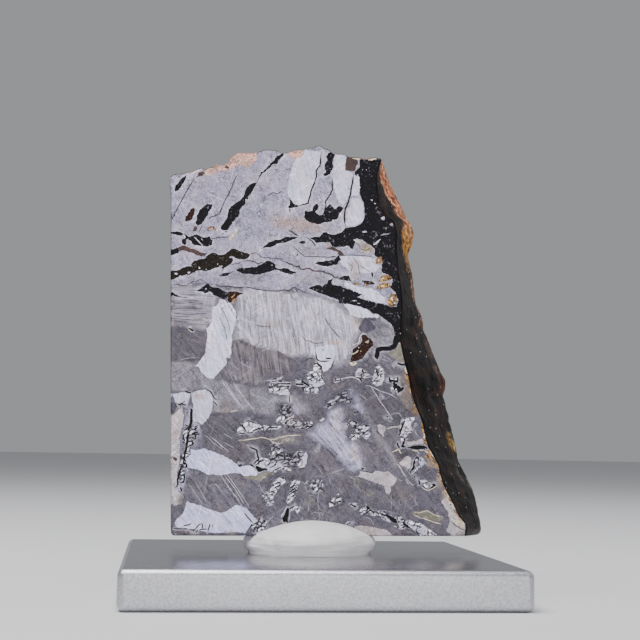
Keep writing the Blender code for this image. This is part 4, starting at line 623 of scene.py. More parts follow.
    Lines(Mineral.HAIRLINE, """0.1 8.3,23.4 9.3,22.8 10,22.2; 0.1 9.8,23.5 10.8,22.9 12,22.5; 0.1
        1.8,23.5 3,23.75 4.2,23.85; 0.1 1,23.1 2.5,23 3.5,22.7; 0.1 6,12.9 8.2,11.3; 0.1 5.5,13.5
        6.8,12.2; 0.1 8,13.7 9.2,13; 0.1 3.4,7 4.3,5.7 5,4.8 5.4,4; 0.1 4.3,7.2 5.2,5.8 5.7,4.9
        5.8,4.5; 0.12 6.1,6.5 6.6,6.9 7.1,6.85 7.7,6.3; 0.12 12.6,6.7 13,6.9 13.2,6.3 13.6,5.8
        13.9,5.4; 0.1 26.4,19.4 27,19 27.5,18.6; 0.12 30.6,16.6 31,16.7 31.3,16.85 31.7,16.9 32,16.85
        32.2,16.5 32.5,16.2; 0.12 32.5,16.3 32.3,15.8 32,15.1 31.9,14.6 32,14.1; 0.1 32.1,9.9 32.8,9.6
        33.2,9.1 33.3,8.7; 0.12 31.8,8 32.3,7.7 32.8,7.85; 0.13 25.2,8.4 25.5,8 25.8,7.9 25.8,7.4
        26.2,6.9 26.6,6.5 26.8,6.1; 0.16 22.5,8.5 23.2,8.8 24,9 24.5,9.3; 0.12 23.8,6.6 24,6.2
        24.2,5.8; 0.12 22.4,7.9 22.7,7; 0.1 20.6,9.5 20.9,9.4 21.2,8.8 21.6,8.5; 0.12 34.3,5.7
        34.25,4.9 34.4,4.5 34.8,4.3; 0.1 31,6 31,5 31,4; 0.1 28.3,3.55 29.5,3.65 30.5,3.6 31.3,3.3
        32.2,3.1; 0.1 27.2,2.75 27.8,2.65 28.2,2.4 28.5,2 28.7,1.5; 0.1 19.4,5 19.7,4 19.6,3.3; 0.1
        20,3.1 20.6,3.3 21.2,3.2 21.5,3.3; 0.1 21.2,3.1 21.3,2.6 21.1,2.2; 0.1 21,6 20.9,5 21.1,3.4;
        0.12 19.1,6.4 19.2,6.9 19.4,6 19.9,6.1 20.2,6.3; 0.1 14.2,1.9 14.9,2.8; 0.1 12.9,6.8 12.9,7.2
        13.4,7.9; 0.12 33.6,15.2 34.6,13.8; 0.1 33.9,15 34.8,13.6; 0.1 29.4,24.9 31,24; 0.1 29.2,24.4
        30.6,23.9; 0.1 30,25.2 31.4,24.3; 0.12 26,10.9 26.6,9.8; 0.12 25.6,10.4 26.4,9.3; 0.1 20.2,2.4
        20.8,2.4; 0.1 19,2.2 19.7,2.4; 0.1 12.8,2.4 13.6,2.8; 0.1 7.9,12.6 9.4,11.8; 0.12 22.6,9.2
        22.9,9.3; 0.14 1.8,0.75 2.9,0.7; 0.1 1.7,0.35 2.2,0.2"""),
)

STAINS = (
    Stain(8.3, 51.2, 3.6, 1.3, 28, "#B98F84", 0.75),
    Stain(5.2, 49.6, 1.6, 0.5, 20, "#8C6A60", 0.6),
    Stain(17.0, 52.8, 1.3, 0.5, 15, "#B5714D", 0.8),
    Stain(17.5, 42.6, 4.4, 1.2, -4, "#A98C80", 0.7),
    Stain(25.6, 36.5, 1.0, 1.8, 0, "#A08C82", 0.6),
    Stain(27.2, 39.8, 1.2, 0.8, -20, "#A58B70", 0.7),
    Stain(21.9, 39.8, 0.6, 0.5, 0, "#A5836B", 0.6),
    Stain(14.6, 28.7, 2.0, 0.5, 5, "#A79B97", 0.6),
    Stain(22.9, 26.3, 1.0, 0.35, 0, "#B78A66", 0.6),
    Stain(25.7, 29.2, 0.9, 1.1, 0, "#A89C99", 0.5),
    Stain(0.9, 28.7, 0.6, 0.5, 0, "#8D7672", 0.5),
    Stain(4.8, 18.6, 1.3, 0.5, 0, "#A98F80", 0.55),
    Stain(8.0, 17.6, 1.0, 0.6, 0, "#6B5F60", 0.6),
    Stain(7.6, 16.8, 1.4, 0.35, 0, "#A99E9D", 0.6),
    Stain(1.5, 13.5, 0.5, 1.2, 0, "#A78F84", 0.5),
    Stain(2.5, 4.7, 0.6, 0.9, 0, "#6F6662", 0.7),
    Stain(5.0, 3.6, 0.8, 0.5, 0, "#BBA7AC", 0.5),
    Stain(10.6, 35.2, 3.3, 1.2, 0, "#7A7682", 0.65),
    Stain(20.0, 35.2, 2.2, 0.9, 0, "#8E8994", 0.6),
    Stain(9.0, 0.45, 1.0, 0.3, 0, "#8A7F80", 0.6),
    Stain(14.4, 1.0, 0.6, 0.3, 0, "#7A6D6C", 0.6),
    Stain(16.2, 13.0, 2.0, 0.5, 0, "#95938A", 0.5),
    Stain(23.2, 15.4, 0.8, 2.4, 0, "#ACA2AA", 0.5),
    Stain(25.7, 11.0, 0.7, 1.2, 20, "#B39C93", 0.5),
    Stain(17.2, 15.9, 1.0, 0.35, 0, "#A3979B", 0.6),
    Stain(26.4, 7.5, 0.8, 0.7, 0, "#7C7870", 0.6),
    Stain(30.2, 8.5, 0.35, 0.3, 0, "#A08078", 0.7),
    Stain(27.8, 5.9, 0.9, 0.4, 0, "#8A857D", 0.6),
    Stain(32.5, 5.8, 1.8, 1.3, 0, "#746E70", 0.5),
    Stain(19.7, 4.8, 0.6, 0.6, 0, "#87867A", 0.6),
    Stain(28.0, 0.8, 2.4, 0.6, 0, "#A59D97", 0.4),
    Stain(32.9, 19.6, 0.7, 2.8, 8, "#857565", 0.6),
    Stain(34.3, 17.3, 0.6, 0.9, 15, "#8A6A48", 0.8),
    Stain(36.6, 10.3, 0.9, 0.9, -35, "#AC9478", 0.7),
    Stain(37.8, 8.0, 0.45, 1.6, -8, "#A38F79", 0.8),
    Stain(38.4, 5.9, 0.5, 0.7, -30, "#9A8A78", 0.8),
    Stain(40.6, 1.9, 0.9, 0.6, -30, "#B3A698", 0.7),
    Stain(40.6, 0.5, 0.8, 0.3, 0, "#7A6A60", 0.7),
    Stain(30.0, 42.6, 1.3, 1.4, 0, "#3E3230", 0.6),
)


def points(text: str) -> np.ndarray:
    """Reads a text of u,v pairs into rows of u and v."""
    return np.array([[float(n) for n in pair.split(",")] for pair in text.split()])


# Outline of the slice, as in the solid model, in millimetres
LEFT_EDGE = points("""1.75,0.02 1.4,0.12 1.26,0.5 1.1,6 0.8,17 0.5,28 0.2,39.5 0.02,46.8 -0.2,47.9
    -0.12,48.45""")
TOP_EDGE = points("""-0.12,48.45 0.12,48.78 0.65,49 1.5,49.1 2.2,49.25 2.8,49.4 3.4,49.72 4.1,50
    4.4,49.92 4.55,49.65 5,50 5.6,50.15 6,50.48 6.25,50.6 6.55,50.4 7.3,50.5 7.8,50.85 8,51.2
    8.1,51.55 8.6,52 9.05,52.27 10,52.3 11.3,52.35 12,52.6 12.9,52.9 14.1,52.9 14.6,52.77 15,52.52
    15.6,52.55 16.2,52.72 16.8,53 17.6,53.1 18.2,53.15 18.5,53.3 19,53.45 19.6,53.5 20,53.75
    20.4,53.8 20.8,53.62 21.1,53.4 21.5,53.35 21.9,53.1 22.2,52.8 22.6,52.7 23.2,52.76 23.8,52.7
    24.1,52.55 24.6,52.36 25.3,52.35 25.9,52.35 26.4,52.15 27,52.15 27.5,52.3 28,52.4 28.3,52.45
    28.6,52.32 28.9,52.3 29.1,52.1""")
CRUST_FRONT = points("""29.1,52.1 28.75,51.2 28.45,50 28.5,48.5 28.6,47 28.9,45.6 29.9,44.3 31,43.5
    31.35,42.2 31.3,40 31.6,38 31.8,36 32.05,34 32.25,32 32.2,30 32.05,28.4 32.1,26.8 32.5,25 33,23
    33.4,21.5 33.7,19.8 34.2,18.4 34.8,17 35.2,16.1 35.5,14.9 35.8,13.5 36.2,12.3 37,11 37.6,9.9
    37.9,8.5 38.3,7.3 38.9,6.1 39.4,5.2 39.9,4.2 40.4,3.2 41,2.5 41.4,1.9 41.45,1.1 41.3,0.28""")
CRUST_RIM = points("""29.95,53.2 30.3,52.7 30.6,52 31.1,50.6 31.6,49.5 32.2,48.5 32.8,47.2 33.4,46.3
    33.8,45.3 34.2,44.3 34.7,43.3 34.9,42.2 34.8,41.3 34.4,40.5 34.2,39.6 34.4,38.3 34.7,37
    34.9,35.8 35.1,34.6 35.3,33 35.8,31.8 36.2,30.9 36.5,29.5 36.8,28.3 37.4,26.5 38,25 38.6,23.8
    39.2,22.6 39.7,21.5 39.75,20.6 39.35,19.6 39.7,18.2 40,17 40.3,15.3 40.8,14 41.2,12.5 41.5,11
    42.2,9.5 43,7.8 43.9,6.3 44.35,4.8 44.55,3.4 44.85,2.2 44.95,1.2 44.9,0.6 44.5,0.2""")
BOTTOM_EDGE = points("30,0.2 16,0.1 1.75,0.02")
CRUST_PROFILE = points("0,0 0.035,0.06 0.3,0.42 0.6,0.78 0.76,0.94 0.85,1 0.93,0.985 1,0.93")
# Share of the crust's slope where its rust begins, at heights from the foot up
RUST_START = points("""0,1.2 24,1.1 27,0.95 30,0.88 33,0.8 36,0.65 38,0.6 40,0.4 42,0.25 44,0.5 47,0.55
    50,0.2 52,0.1""")


# Heights between which the rim turns from umber to amber, and from amber to rust
AMBER_ROWS, RUST_ROWS = (36.0, 40.5), (42.0, 44.5)


@dataclass(frozen=True)
class Spot:
    """A spot on the crust: its height, its share of the crust's slope, its reach both ways, its tint."""

    v: float
    share: float
    long: float
    across: float
    tint: str


CRUST_SPOTS = (
    Spot(21.3, 0.95, 1.9, 0.22, "#4A1E14"), Spot(20.2, 1.0, 0.9, 0.16, "#5C2E18"),
    Spot(13.2, 0.87, 1.5, 0.17, "#7E6030"), Spot(12.4, 0.97, 0.9, 0.12, "#A58A58"),
    Spot(26.0, 0.95, 1.8, 0.14, "#4E3A30"), Spot(23.5, 0.9, 1.1, 0.12, "#4E3C32"),
    Spot(8.6, 0.8, 1.2, 0.12, "#4A403E"), Spot(7.2, 1.0, 1.6, 0.1, "#5A504C"),
)


def along(path: np.ndarray, steps: int) -> np.ndarray:
    """Spaces points evenly along a path.

    Args:
        path: The path's corners.
        steps: How many points to make.

    Returns:
        The points, without the path's last corner.
    """
    legs = np.linalg.norm(np.diff(path, axis=0), axis=1)
    reach = np.concatenate(([0.0], np.cumsum(legs)))
    wanted = np.arange(steps) / steps * reach[-1]
    return np.stack([np.interp(wanted, reach, path[:, k]) for k in (0, 1)], axis=1)


def smooth_step(low: float, high: float, value: np.ndarray) -> np.ndarray:
    """Rises from 0 at low to 1 at high, with soft ends."""
    share = np.clip((value - low) / (high - low), 0.0, 1.0)
    return share * share * (3.0 - 2.0 * share)


def noise_at(places: np.ndarray, size: float, seed: float) -> np.ndarray:
    """Smooth noise from -1 to 1.

    Args:
        places: Rows of coordinates in millimetres, two or three to a row.
        size: The noise's grain in millimetres.
        seed: A shift that makes one noise unlike another.

    Returns:
        One value for each row.
    """
    shift = Vector((seed, -seed, 2 * seed))
    return np.array([noise.noise(Vector(p).to_3d() / size + shift) for p in places])


# A drawn line's wander: the turns per millimetre of its broad and its fine part, and its reach
BROAD_WANDER, FINE_WANDER, WANDER_REACH = 2.3, 5.1, 1.4


def wandering(path: np.ndarray, wobble: float, step: float = 0.2) -> np.ndarray:
    """Makes a drawn path ragged, as a grain boundary is.

    Args:
        path: The path's corners.
        wobble: How far a point may wander, in millimetres.
        step: The spacing of the new points.

    Returns:
        The finer path, with its first and last corners kept.
    """
    length = np.linalg.norm(np.diff(path, axis=0), axis=1).sum()
    fine = np.vstack((along(path, max(2, round(length / step))), path[-1:]))
    shift = [noise.noise_vector(Vector((u, v, 0.0)) * BROAD_WANDER)
             + noise.noise_vector(Vector((u, v, 4.0)) * FINE_WANDER) for u, v in fine]
    return fine + wobble * WANDER_REACH * np.array(shift)[:, :2]


# A ribbon's ends: how fast it widens, its least width, its curve, and how uneven its sides are
TIP_RATE, TIP_LEAST, TIP_CURVE, UNEVEN = 7.0, 0.12, 0.6, 0.3


def ribbon(path: np.ndarray, width: float) -> np.ndarray:
    """Turns a line into a closed strip that narrows at both ends.

    Args:
        path: The line's points.
        width: The strip's width at its middle.

    Returns:
        The strip's outline.
    """
    run = np.gradient(path, axis=0)
    run /= np.linalg.norm(run, axis=1)[:, None] + 1e-9
    side = np.stack((-run[:, 1], run[:, 0]), axis=1)
    share = np.linspace(0.0, 1.0, len(path))
    taper = np.clip(np.minimum(share, 1.0 - share) * TIP_RATE, TIP_LEAST, 1.0) ** TIP_CURVE
    taper *= 1.0 + UNEVEN * noise_at(path, 0.6, 5.0)
    half = side * (width / 2 * taper)[:, None]
    return np.vstack((path + half, (path - half)[::-1]))


def inside(places: np.ndarray, loop: np.ndarray) -> np.ndarray:
    """Says which places lie inside a closed loop.

    Args:
        places: Rows of u and v.
        loop: The loop's corners.

    Returns:
        True or False for each place.
    """
    found = np.zeros(len(places), bool)
    near = np.nonzero(((places >= loop.min(axis=0)) & (places <= loop.max(axis=0))).all(axis=1))[0]
    x, y = places[near].T
    hits = np.zeros(len(near), bool)
    for (x0, y0), (x1, y1) in zip(loop, np.roll(loop, -1, axis=0)):
        crosses = (y0 > y) != (y1 > y)
        hits ^= crosses & (x < (x1 - x0) * (y - y0) / (y1 - y0 + 1e-12) + x0)
    found[near] = hits
    return found


MINERALS = list(Mineral)
HARD_OXIDES = (Mineral.OXIDE, Mineral.SOOT, Mineral.CRACK, Mineral.RUSSET)
# Tint of the thin bright rim that the acid leaves on metal beside a vein
BRIGHT_RIM = "#D6D3E4"
# How much wider than drawn the lines of a mineral are cut
LINE_GAIN = {Mineral.CRACK: 1.45, Mineral.SCRATCH: 0.8, Mineral.HAIRLINE: 0.85}


@dataclass
class Chart:
    """The marks of one sawn face as closed loops, from the lowest layer to the highest."""

    loops: list[np.ndarray] = field(default_factory=list)
    minerals: list[int] = field(default_factory=list)

    def read(self, groups: tuple) -> None:
        """Reads groups of patches and lines into loops.

        Args:
            groups: The groups, each on top of the ones before it.
        """
        for group in groups:
            for text in group.text.split(";"):
                if isinstance(group, Patches):
                    corners = points(text)
                    loop = wandering(np.vstack((corners, corners[:1])), group.wobble)[:-1]
                else:
                    width, _, rest = text.strip().partition(" ")
                    path = wandering(points(rest), group.wobble)
                    loop = ribbon(path, float(width) * LINE_GAIN.get(group.mineral, 1.0))
                self.loops.append(loop)
                self.minerals.append(MINERALS.index(group.mineral))

    def at(self, places: np.ndarray) -> np.ndarray:
        """Finds the topmost mark at each place.

        Args:
            places: Rows of u and v.

        Returns:
            The number of each place's mark, or -1 where only the plain metal shows.
        """
        found = np.full(len(places), -1)
        for number, loop in enumerate(self.loops):
            found[inside(places, loop)] = number
        return found

    def warped(self, move: Callable[[np.ndarray], np.ndarray]) -> "Chart":
        """A copy with every loop moved by a function of its points."""
        return Chart([move(loop) for loop in self.loops], list(self.minerals))


def kept_inside(loop: np.ndarray, outline: np.ndarray, margin: float = 0.05) -> np.ndarray:
    """Pulls the points of a loop that leave an outline back to just inside it.

    Args:
        loop: The points.
        outline: The closed outline, anticlockwise or clockwise.
        margin: How far inside they come to lie.

    Returns:
        The points, moved where they had to be.
    """
    after = np.roll(outline, -1, axis=0)
    span = after - outline
    middle = (outline + after) / 2
    side = np.stack((-span[:, 1], span[:, 0]), axis=1)
    side /= np.linalg.norm(side, axis=1)[:, None] + 1e-12
    if not inside(middle[:1] + side[:1] * 0.01, outline)[0]:
        side = -side
    held = loop.copy()
    outside = ~inside(loop, outline)
    for index, place in enumerate(loop):
        share = np.clip(((place - outline) * span).sum(axis=1) / (span ** 2).sum(axis=1), 0.0, 1.0)
        nearest = outline + span * share[:, None]
        away = np.linalg.norm(place - nearest, axis=1)
        best = int(away.argmin())
        if outside[index] or away[best] < margin:
            held[index] = nearest[best] + side[best] * margin
    return held


def edge_distance(place: np.ndarray, outline: np.ndarray) -> float:
    """Distance from one place to the nearest edge of a closed outline."""
    span = np.roll(outline, -1, axis=0) - outline
    share = np.clip(((place - outline) * span).sum(axis=1) / (span ** 2).sum(axis=1), 0.0, 1.0)
    return float(np.linalg.norm(place - outline - span * share[:, None], axis=1).min())


@dataclass
class SawnFace:
    """One flat sawn face: its outline, cut into triangles that follow every mark on it."""

    outline: np.ndarray
    chart: Chart
    spacing: float
    seed: int
    scatter: float = 0.32
    clear_cell: float = 0.16
    merge: float = 0.004
    rim_reach: float = 0.02
    places: np.ndarray = field(default_factory=lambda: np.zeros((0, 2)))
    triangles: np.ndarray = field(default_factory=lambda: np.zeros((0, 3), int))
    marks: np.ndarray = field(default_factory=lambda: np.zeros(0, int))

    def fill(self, drawn: np.ndarray) -> np.ndarray:
        """Scatters points over the face, away from the drawn ones.

        Args:
            drawn: The points of the outline and of the marks.

        Returns:
            The scattered points.
        """
        low, high = self.outline.min(axis=0), self.outline.max(axis=0)
        u, v = np.meshgrid(*(np.arange(low[k], high[k], self.spacing) for k in (0, 1)))
        spread = np.stack((u.ravel(), v.ravel()), axis=1)
        nudge = np.random.default_rng(self.seed).uniform(-self.scatter, self.scatter, spread.shape)
        spread += nudge * self.spacing
        spread = spread[inside(spread, self.outline)]
        taken = {(round(a), round(b)) for a, b in drawn / self.clear_cell}
        clear = [not any((round(a) + i, round(b) + j) in taken for i in (-1, 0, 1) for j in (-1, 0, 1))
                 for a, b in spread / self.clear_cell]
        return spread[np.array(clear)]

    def cut(self) -> None:
        """Makes the triangles, with the outline's own points first and in their order."""
        count = len(self.outline)
        corners = [self.outline]
        edges = [(i, (i + 1) % count) for i in range(count)]
        start = count
        for loop in self.chart.loops:
            held = kept_inside(loop, self.outline)
            corners.append(held)
            edges += [(start + i, start + (i + 1) % len(held)) for i in range(len(held))]
            start += len(held)
        drawn = np.vstack(corners)
        every = np.vstack((drawn, self.fill(drawn)))
        made = geometry.delaunay_2d_cdt([Vector(p) for p in every], edges, [], 0, self.merge, True)
        places = np.array([tuple(p) for p in made[0]])
        triangles = np.array(made[2])
        triangles = triangles[inside(places[triangles].mean(axis=1), self.outline)]
        self.tidy(places, triangles, made[3])

    def tidy(self, places: np.ndarray, triangles: np.ndarray, sources: list) -> None:
        """Puts the outline's points first, and drops points and slivers that nothing needs.

        Args:
            places: The points of the cut.
            triangles: The triangles of the cut.
            sources: For each point, the numbers of the points that it came from.
        """
        count = len(self.outline)
        number = np.full(len(places), -1)
        for index, origin in enumerate(sources):
            rim = [k for k in origin if k < count]
            if rim:
                number[index] = rim[0]
            elif not origin and edge_distance(places[index], self.outline) < self.rim_reach:
                number[index] = int(np.linalg.norm(self.outline - places[index], axis=1).argmin())
        order = count
        for index in np.unique(triangles):
            if number[index] < 0:
                number[index] = order
                order += 1
        self.places = np.zeros((order, 2))
        self.places[:count] = self.outline
        used = number >= count
        self.places[number[used]] = places[used]
        triangles = number[triangles]
        whole = ((triangles[:, 0] != triangles[:, 1]) & (triangles[:, 1] != triangles[:, 2])
                 & (triangles[:, 0] != triangles[:, 2]))
        self.triangles = triangles[whole]
        middle = self.places[self.triangles].mean(axis=1)
        self.marks = self.chart.at(kept_inside(middle, self.outline, 0.12))


@dataclass
class Shell:
    """The slice's surface as it is put together: corners, triangles, and what shows on each."""

    corners: list[np.ndarray] = field(default_factory=list)
    triangles: list[np.ndarray] = field(default_factory=list)
    tint: list[np.ndarray] = field(default_factory=list)
    etch: list[np.ndarray] = field(default_factory=list)
    cut: list[np.ndarray] = field(default_factory=list)
    finish: list[np.ndarray] = field(default_factory=list)
    count: int = 0

    def add(self, corners: np.ndarray) -> int:
        """Adds corners and returns the number of the first."""
        first = self.count
        self.corners.append(corners)
        self.count += len(corners)
        return first

    def add_faces(self, triangles: np.ndarray, tint: np.ndarray, etch: np.ndarray, cut: np.ndarray,
                  finish: np.ndarray) -> None:
        """Adds triangles with the values of each of their corners, and the number of their finish."""
        self.triangles.append(triangles)
        self.tint.append(tint)
        self.etch.append(etch)
        self.cut.append(cut)
        self.finish.append(finish)


class Finish(Enum):
    """The finishes of the slice's faces, in the order of its material slots."""

    IRON = 0
    OXIDE = 1
    CRUST = 2


@dataclass
class MeteoriteSlice:
    """The slice: two sawn and etched faces, two sawn edges, a natural top and a weathered crust."""

    thickness: float = 6.5
    left: float = -20.0
    bottom: float = 7.4
    bevel: float = 0.13
    left_steps: int = 200
    top_steps: int = 200
    crust_steps: int = 250
    bottom_steps: int = 150
    front_spacing: float = 0.38
    back_spacing: float = 0.5
    top_rise_at_back: float = 0.35
    lump_size: float = 2.8
    lump_height: float = 0.24
    ledge_width: float = 1.3
    ledge_length: float = 8.0
    ledge_height: float = 0.16
    thread_width: float = 0.35
    thread_length: float = 3.0
    thread_height: float = 0.04
    grit_size: float = 0.75
    grit_height: float = 0.06
    drawn_in: float = 0.1
    top_length: float = 34.0
    crust_length: float = 54.0
    drift_size: float = 7.0
    drift_reach: float = 2.6
    patch_size: float = 1.6
    fleck_size: float = 0.45
    pore_size: float = 0.6
    fade_front: float = 0.12
    fade_back: float = 0.1
    corner_fade: float = 3.2
    corner_blend: float = 5.0
    halo: float = 0.45

    def depths(self) -> np.ndarray:
        """The rings' places from the front face, 0, to the back face, 1."""
        inner = np.linspace(0.02, 0.98, 31)
        return np.concatenate(([0.0, 0.006], inner, [0.994, 1.0]))

    def relief(self, places: np.ndarray, depth: float) -> np.ndarray:
        """Lumps and ledges of the natural surface over its plain form.

        Args:
            places: Rows of u and v on a ring.
            depth: The ring's depth.

        Returns:
            The height at each place, 0 at the saw cuts.
        """
        y = depth * self.thickness
        fade = min(1.0, depth / self.fade_front, (1.0 - depth) / self.fade_back)
        found = []
        for u, v in places:
            lump = noise.fractal(Vector((u, y, v)) / self.lump_size, 0.9, 2.1, 3)
            ledge = noise.noise(Vector(((u + v) / self.ledge_length, y / self.ledge_width, 7.5)))
            thread = noise.noise(Vector(((u + v) / self.thread_length, y / self.thread_width, 3.1)))
            grit = noise.fractal(Vector((u, y, v)) / self.grit_size, 0.8, 2.0, 3)
            found.append(self.lump_height * lump + self.ledge_height * ledge - self.drawn_in
                         + self.thread_height * thread + self.grit_height * grit)
        return np.array(found) * fade

    def edge_ramp(self, count: int, length: float) -> np.ndarray:
        """0 at both ends of a stretch and 1 a few millimetres from them."""
        run = np.minimum(np.arange(count), count - np.arange(count)) * length / count
        return np.clip(run / self.corner_fade, 0.0, 1.0)

    def ring(self, depth: float, inset: float) -> np.ndarray:
        """The outline at one depth.

        Args:
            depth: From 0, the front face, to 1, the back face.
            inset: How far the ring is drawn in, for the small bevel at the saw cuts.

        Returns:
            Rows of u and v, clockwise from the lower left corner.
        """
        share = np.interp(depth, CRUST_PROFILE[:, 0], CRUST_PROFILE[:, 1])
        left = along(LEFT_EDGE, self.left_steps)
        top = along(TOP_EDGE, self.top_steps)
        front, rim = along(CRUST_FRONT, self.crust_steps), along(CRUST_RIM, self.crust_steps)
        lift = self.top_rise_at_back * depth + self.relief(top, depth)
        top[:, 1] += lift * self.edge_ramp(len(top), self.top_length)
        to_corner = (len(top) - np.arange(len(top))) * self.top_length / len(top)
        blend = np.clip(1.0 - to_corner / self.corner_blend, 0.0, 1.0)
        top += (rim[0] - front[0]) * share * blend[:, None]
        crust = front + (rim - front) * share
        crust[:, 0] += self.relief(crust, depth) * self.edge_ramp(len(crust), self.crust_length)
        end = CRUST_FRONT[-1] + (CRUST_RIM[-1] - CRUST_FRONT[-1]) * share
        foot = along(np.vstack((end, BOTTOM_EDGE)), self.bottom_steps)
        whole = np.vstack((left, top, crust, foot))
        if inset:
            run = np.roll(whole, -2, axis=0) - np.roll(whole, 2, axis=0)
            run /= np.linalg.norm(run, axis=1)[:, None]
            whole = whole + np.stack((run[:, 1], -run[:, 0]), axis=1) * inset
        return whole

    def placed(self, places: np.ndarray, y: np.ndarray | float) -> np.ndarray:
        """Turns u and v, and a depth in millimetres from the middle, into metres."""
        made = np.empty((len(places), 3))
        made[:, 0] = self.left + places[:, 0]
        made[:, 1] = y
        made[:, 2] = self.bottom + places[:, 1]
        return made * MM

    def drift(self, places: np.ndarray) -> np.ndarray:
        """How far the marks have moved from the front face by the time they reach the back."""
        moves = np.array([noise.noise_vector(Vector((u, v, 9.0)) / self.drift_size) for u, v in places])
        return moves[:, :2] * self.drift_reach

    def to_back(self, loop: np.ndarray) -> np.ndarray:
        """Moves a mark of the front face to where the back face cuts it."""
        rows = np.clip(loop[:, 1], 0.3, 52.0)
        near = np.interp(rows, CRUST_FRONT[::-1, 1], CRUST_FRONT[::-1, 0])
        far = np.interp(rows, CRUST_RIM[::-1, 1], CRUST_RIM[::-1, 0])
        stretch = np.clip(loop[:, 0] / near, 0.0, 1.2) ** 2 * (far - near)
        moved = loop + self.drift(loop)
        moved[:, 0] += stretch
        return moved

    def values(self, marks: np.ndarray, chart: Chart) -> tuple[np.ndarray, ...]:
        """Looks up what shows where a mark lies.

        Args:
            marks: Numbers of marks, -1 for the plain metal.
            chart: The marks.

        Returns:
            For each its colour, its streak angle with streak and mottle, its metal with script, and
            its mineral. Marks of one mineral differ a little in brightness and angle, as crystals do.
        """
        minerals = np.array(chart.minerals + [MINERALS.index(Mineral.GREY)])[marks]
        looks = [m.value for m in MINERALS]
        tint = np.array([rgb(k.tint) for k in looks])[minerals]
        etch = np.array([(-math.radians(k.lean), k.streak, k.mottle) for k in looks])[minerals]
        metal = np.array([(k.metal, k.script, 0.0) for k in looks])[minerals]
        gain = 1.0 + 0.07 * np.sin(marks * 12.9)
        etch = etch.copy()
        etch[:, 0] += (0.12 + 0.4 * metal[:, 1]) * np.sin(marks * 5.3)
        return tint * gain[:, None], etch, metal, minerals

    def add_face(self, shell: Shell, face: SawnFace, depth: int, stained: bool) -> None:
        """Adds one sawn face to the shell.

        Args:
            shell: The shell, which already holds the rings.
            face: The face, cut.
            depth: 0 for the front face, 1 for the back one.
            stained: Whether the stains of the front show on it.
        """
        count = len(face.outline)
        tint, etch, metal, minerals = self.values(face.marks, face.chart)
        sunk = np.array([m.value.sunk for m in MINERALS])[minerals]
        lowest = np.ones(len(face.places))
        for k in range(3):
            np.minimum.at(lowest, face.triangles[:, k], sunk)
        inner = face.places[count:]
        dip = lowest[count:] * (0.9 + 0.6 * noise_at(inner, 0.5, 2.0))
        first = shell.add(self.placed(inner, self.thickness * (depth - 0.5) + dip * (1 - 2 * depth)))
        rim = np.arange(count) + depth * (len(self.depths()) - 1) * count
        number = np.concatenate((rim, first + np.arange(len(inner))))
        cut = face.triangles
        spread = [np.repeat(a[:, None], 3, axis=1) for a in (tint, etch, metal)]
        soft = np.array([m.value.soft for m in MINERALS])[minerals]
        for values in spread:
            flat = values.reshape(len(cut), 3, -1)
            total = np.zeros((len(face.places), flat.shape[2]))
            seen = np.zeros(len(face.places))
            for k in range(3):
                np.add.at(total, cut[soft, k], flat[soft, k])
                np.add.at(seen, cut[soft, k], 1.0)
            mean = total / np.maximum(seen, 1.0)[:, None]
            for k in range(3):
                flat[soft, k] = mean[cut[soft, k]]
        hard = np.isin(minerals, [MINERALS.index(m) for m in HARD_OXIDES])
        beside = np.zeros(len(face.places), bool)
        beside[cut[hard]] = True
        halo = self.halo * (beside[cut] & ~hard[:, None] & (metal[:, 0] > 0.7)[:, None])[:, :, None]
        spread[0] += (rgb(BRIGHT_RIM) - spread[0]) * halo
        if stained:
            self.stain(face, spread[0], metal)
        order = number[cut]
        if depth:
            order, *spread = order[:, ::-1], *(a[:, ::-1] for a in spread)
        shell.add_faces(order, *spread, np.where(hard, Finish.OXIDE.value, Finish.IRON.value))

    def stain(self, face: SawnFace, tint: np.ndarray, cut: np.ndarray) -> None:
        """Tints the corners that lie in soft stains, apart from those of the oxide.

        Args:
            face: The face.
            tint: The colours of its triangles' corners, which are changed.
            cut: How metallic each triangle is, and how much script it has.
        """
        ragged = noise_at(face.places, 0.5, 11.0) * 0.35 + noise_at(face.places, 1.4, 4.0) * 0.3
        strength = np.zeros((len(face.places), 1))
        for spot in STAINS:
            turn = math.radians(spot.turn)
            away = face.places - (spot.u, spot.v)
            along_it = away @ (math.cos(turn), math.sin(turn)) / spot.long
            across = away @ (-math.sin(turn), math.cos(turn)) / spot.short
            reach = np.hypot(along_it, across) + ragged
            strength[:, 0] = spot.strength * smooth_step(1.15, 0.45, reach)
            share = strength[face.triangles] * (cut[:, 0] > 0.4)[:, None, None]
            tint += (rgb(spot.tint) - tint) * share

    def build(self) -> bpy.types.Object:
        """Builds the slice's mesh with its attributes.

        Returns:
            The slice.
        """
        front_chart = Chart()
        front_chart.read(PLATES + VEINS + FLECKS + STROKES)
        back_chart = front_chart.warped(self.to_back)
        shell = Shell()
        depths = self.depths()
        insets = np.interp(depths, [0, 0.006, 0.02, 0.98, 0.994, 1], [self.bevel, self.bevel * 0.3, 0, 0,
                                                                      self.bevel * 0.3, self.bevel])
        rings = [self.ring(d, i) for d, i in zip(depths, insets)]
        for ring, depth in zip(rings, depths):
            shell.add(self.placed(ring, self.thickness * (depth - 0.5)))
        self.add_sides(shell, rings, depths, front_chart)
        front = SawnFace(rings[0], front_chart, self.front_spacing, 3)
        front.cut()
        LOG.info("front face: %d triangles", len(front.triangles))
        self.add_face(shell, front, 0, True)
        back = SawnFace(rings[-1], back_chart, self.back_spacing, 4)
        back.cut()
        LOG.info("back face: %d triangles", len(back.triangles))
        self.add_face(shell, back, 1, False)
        return self.finished(shell)

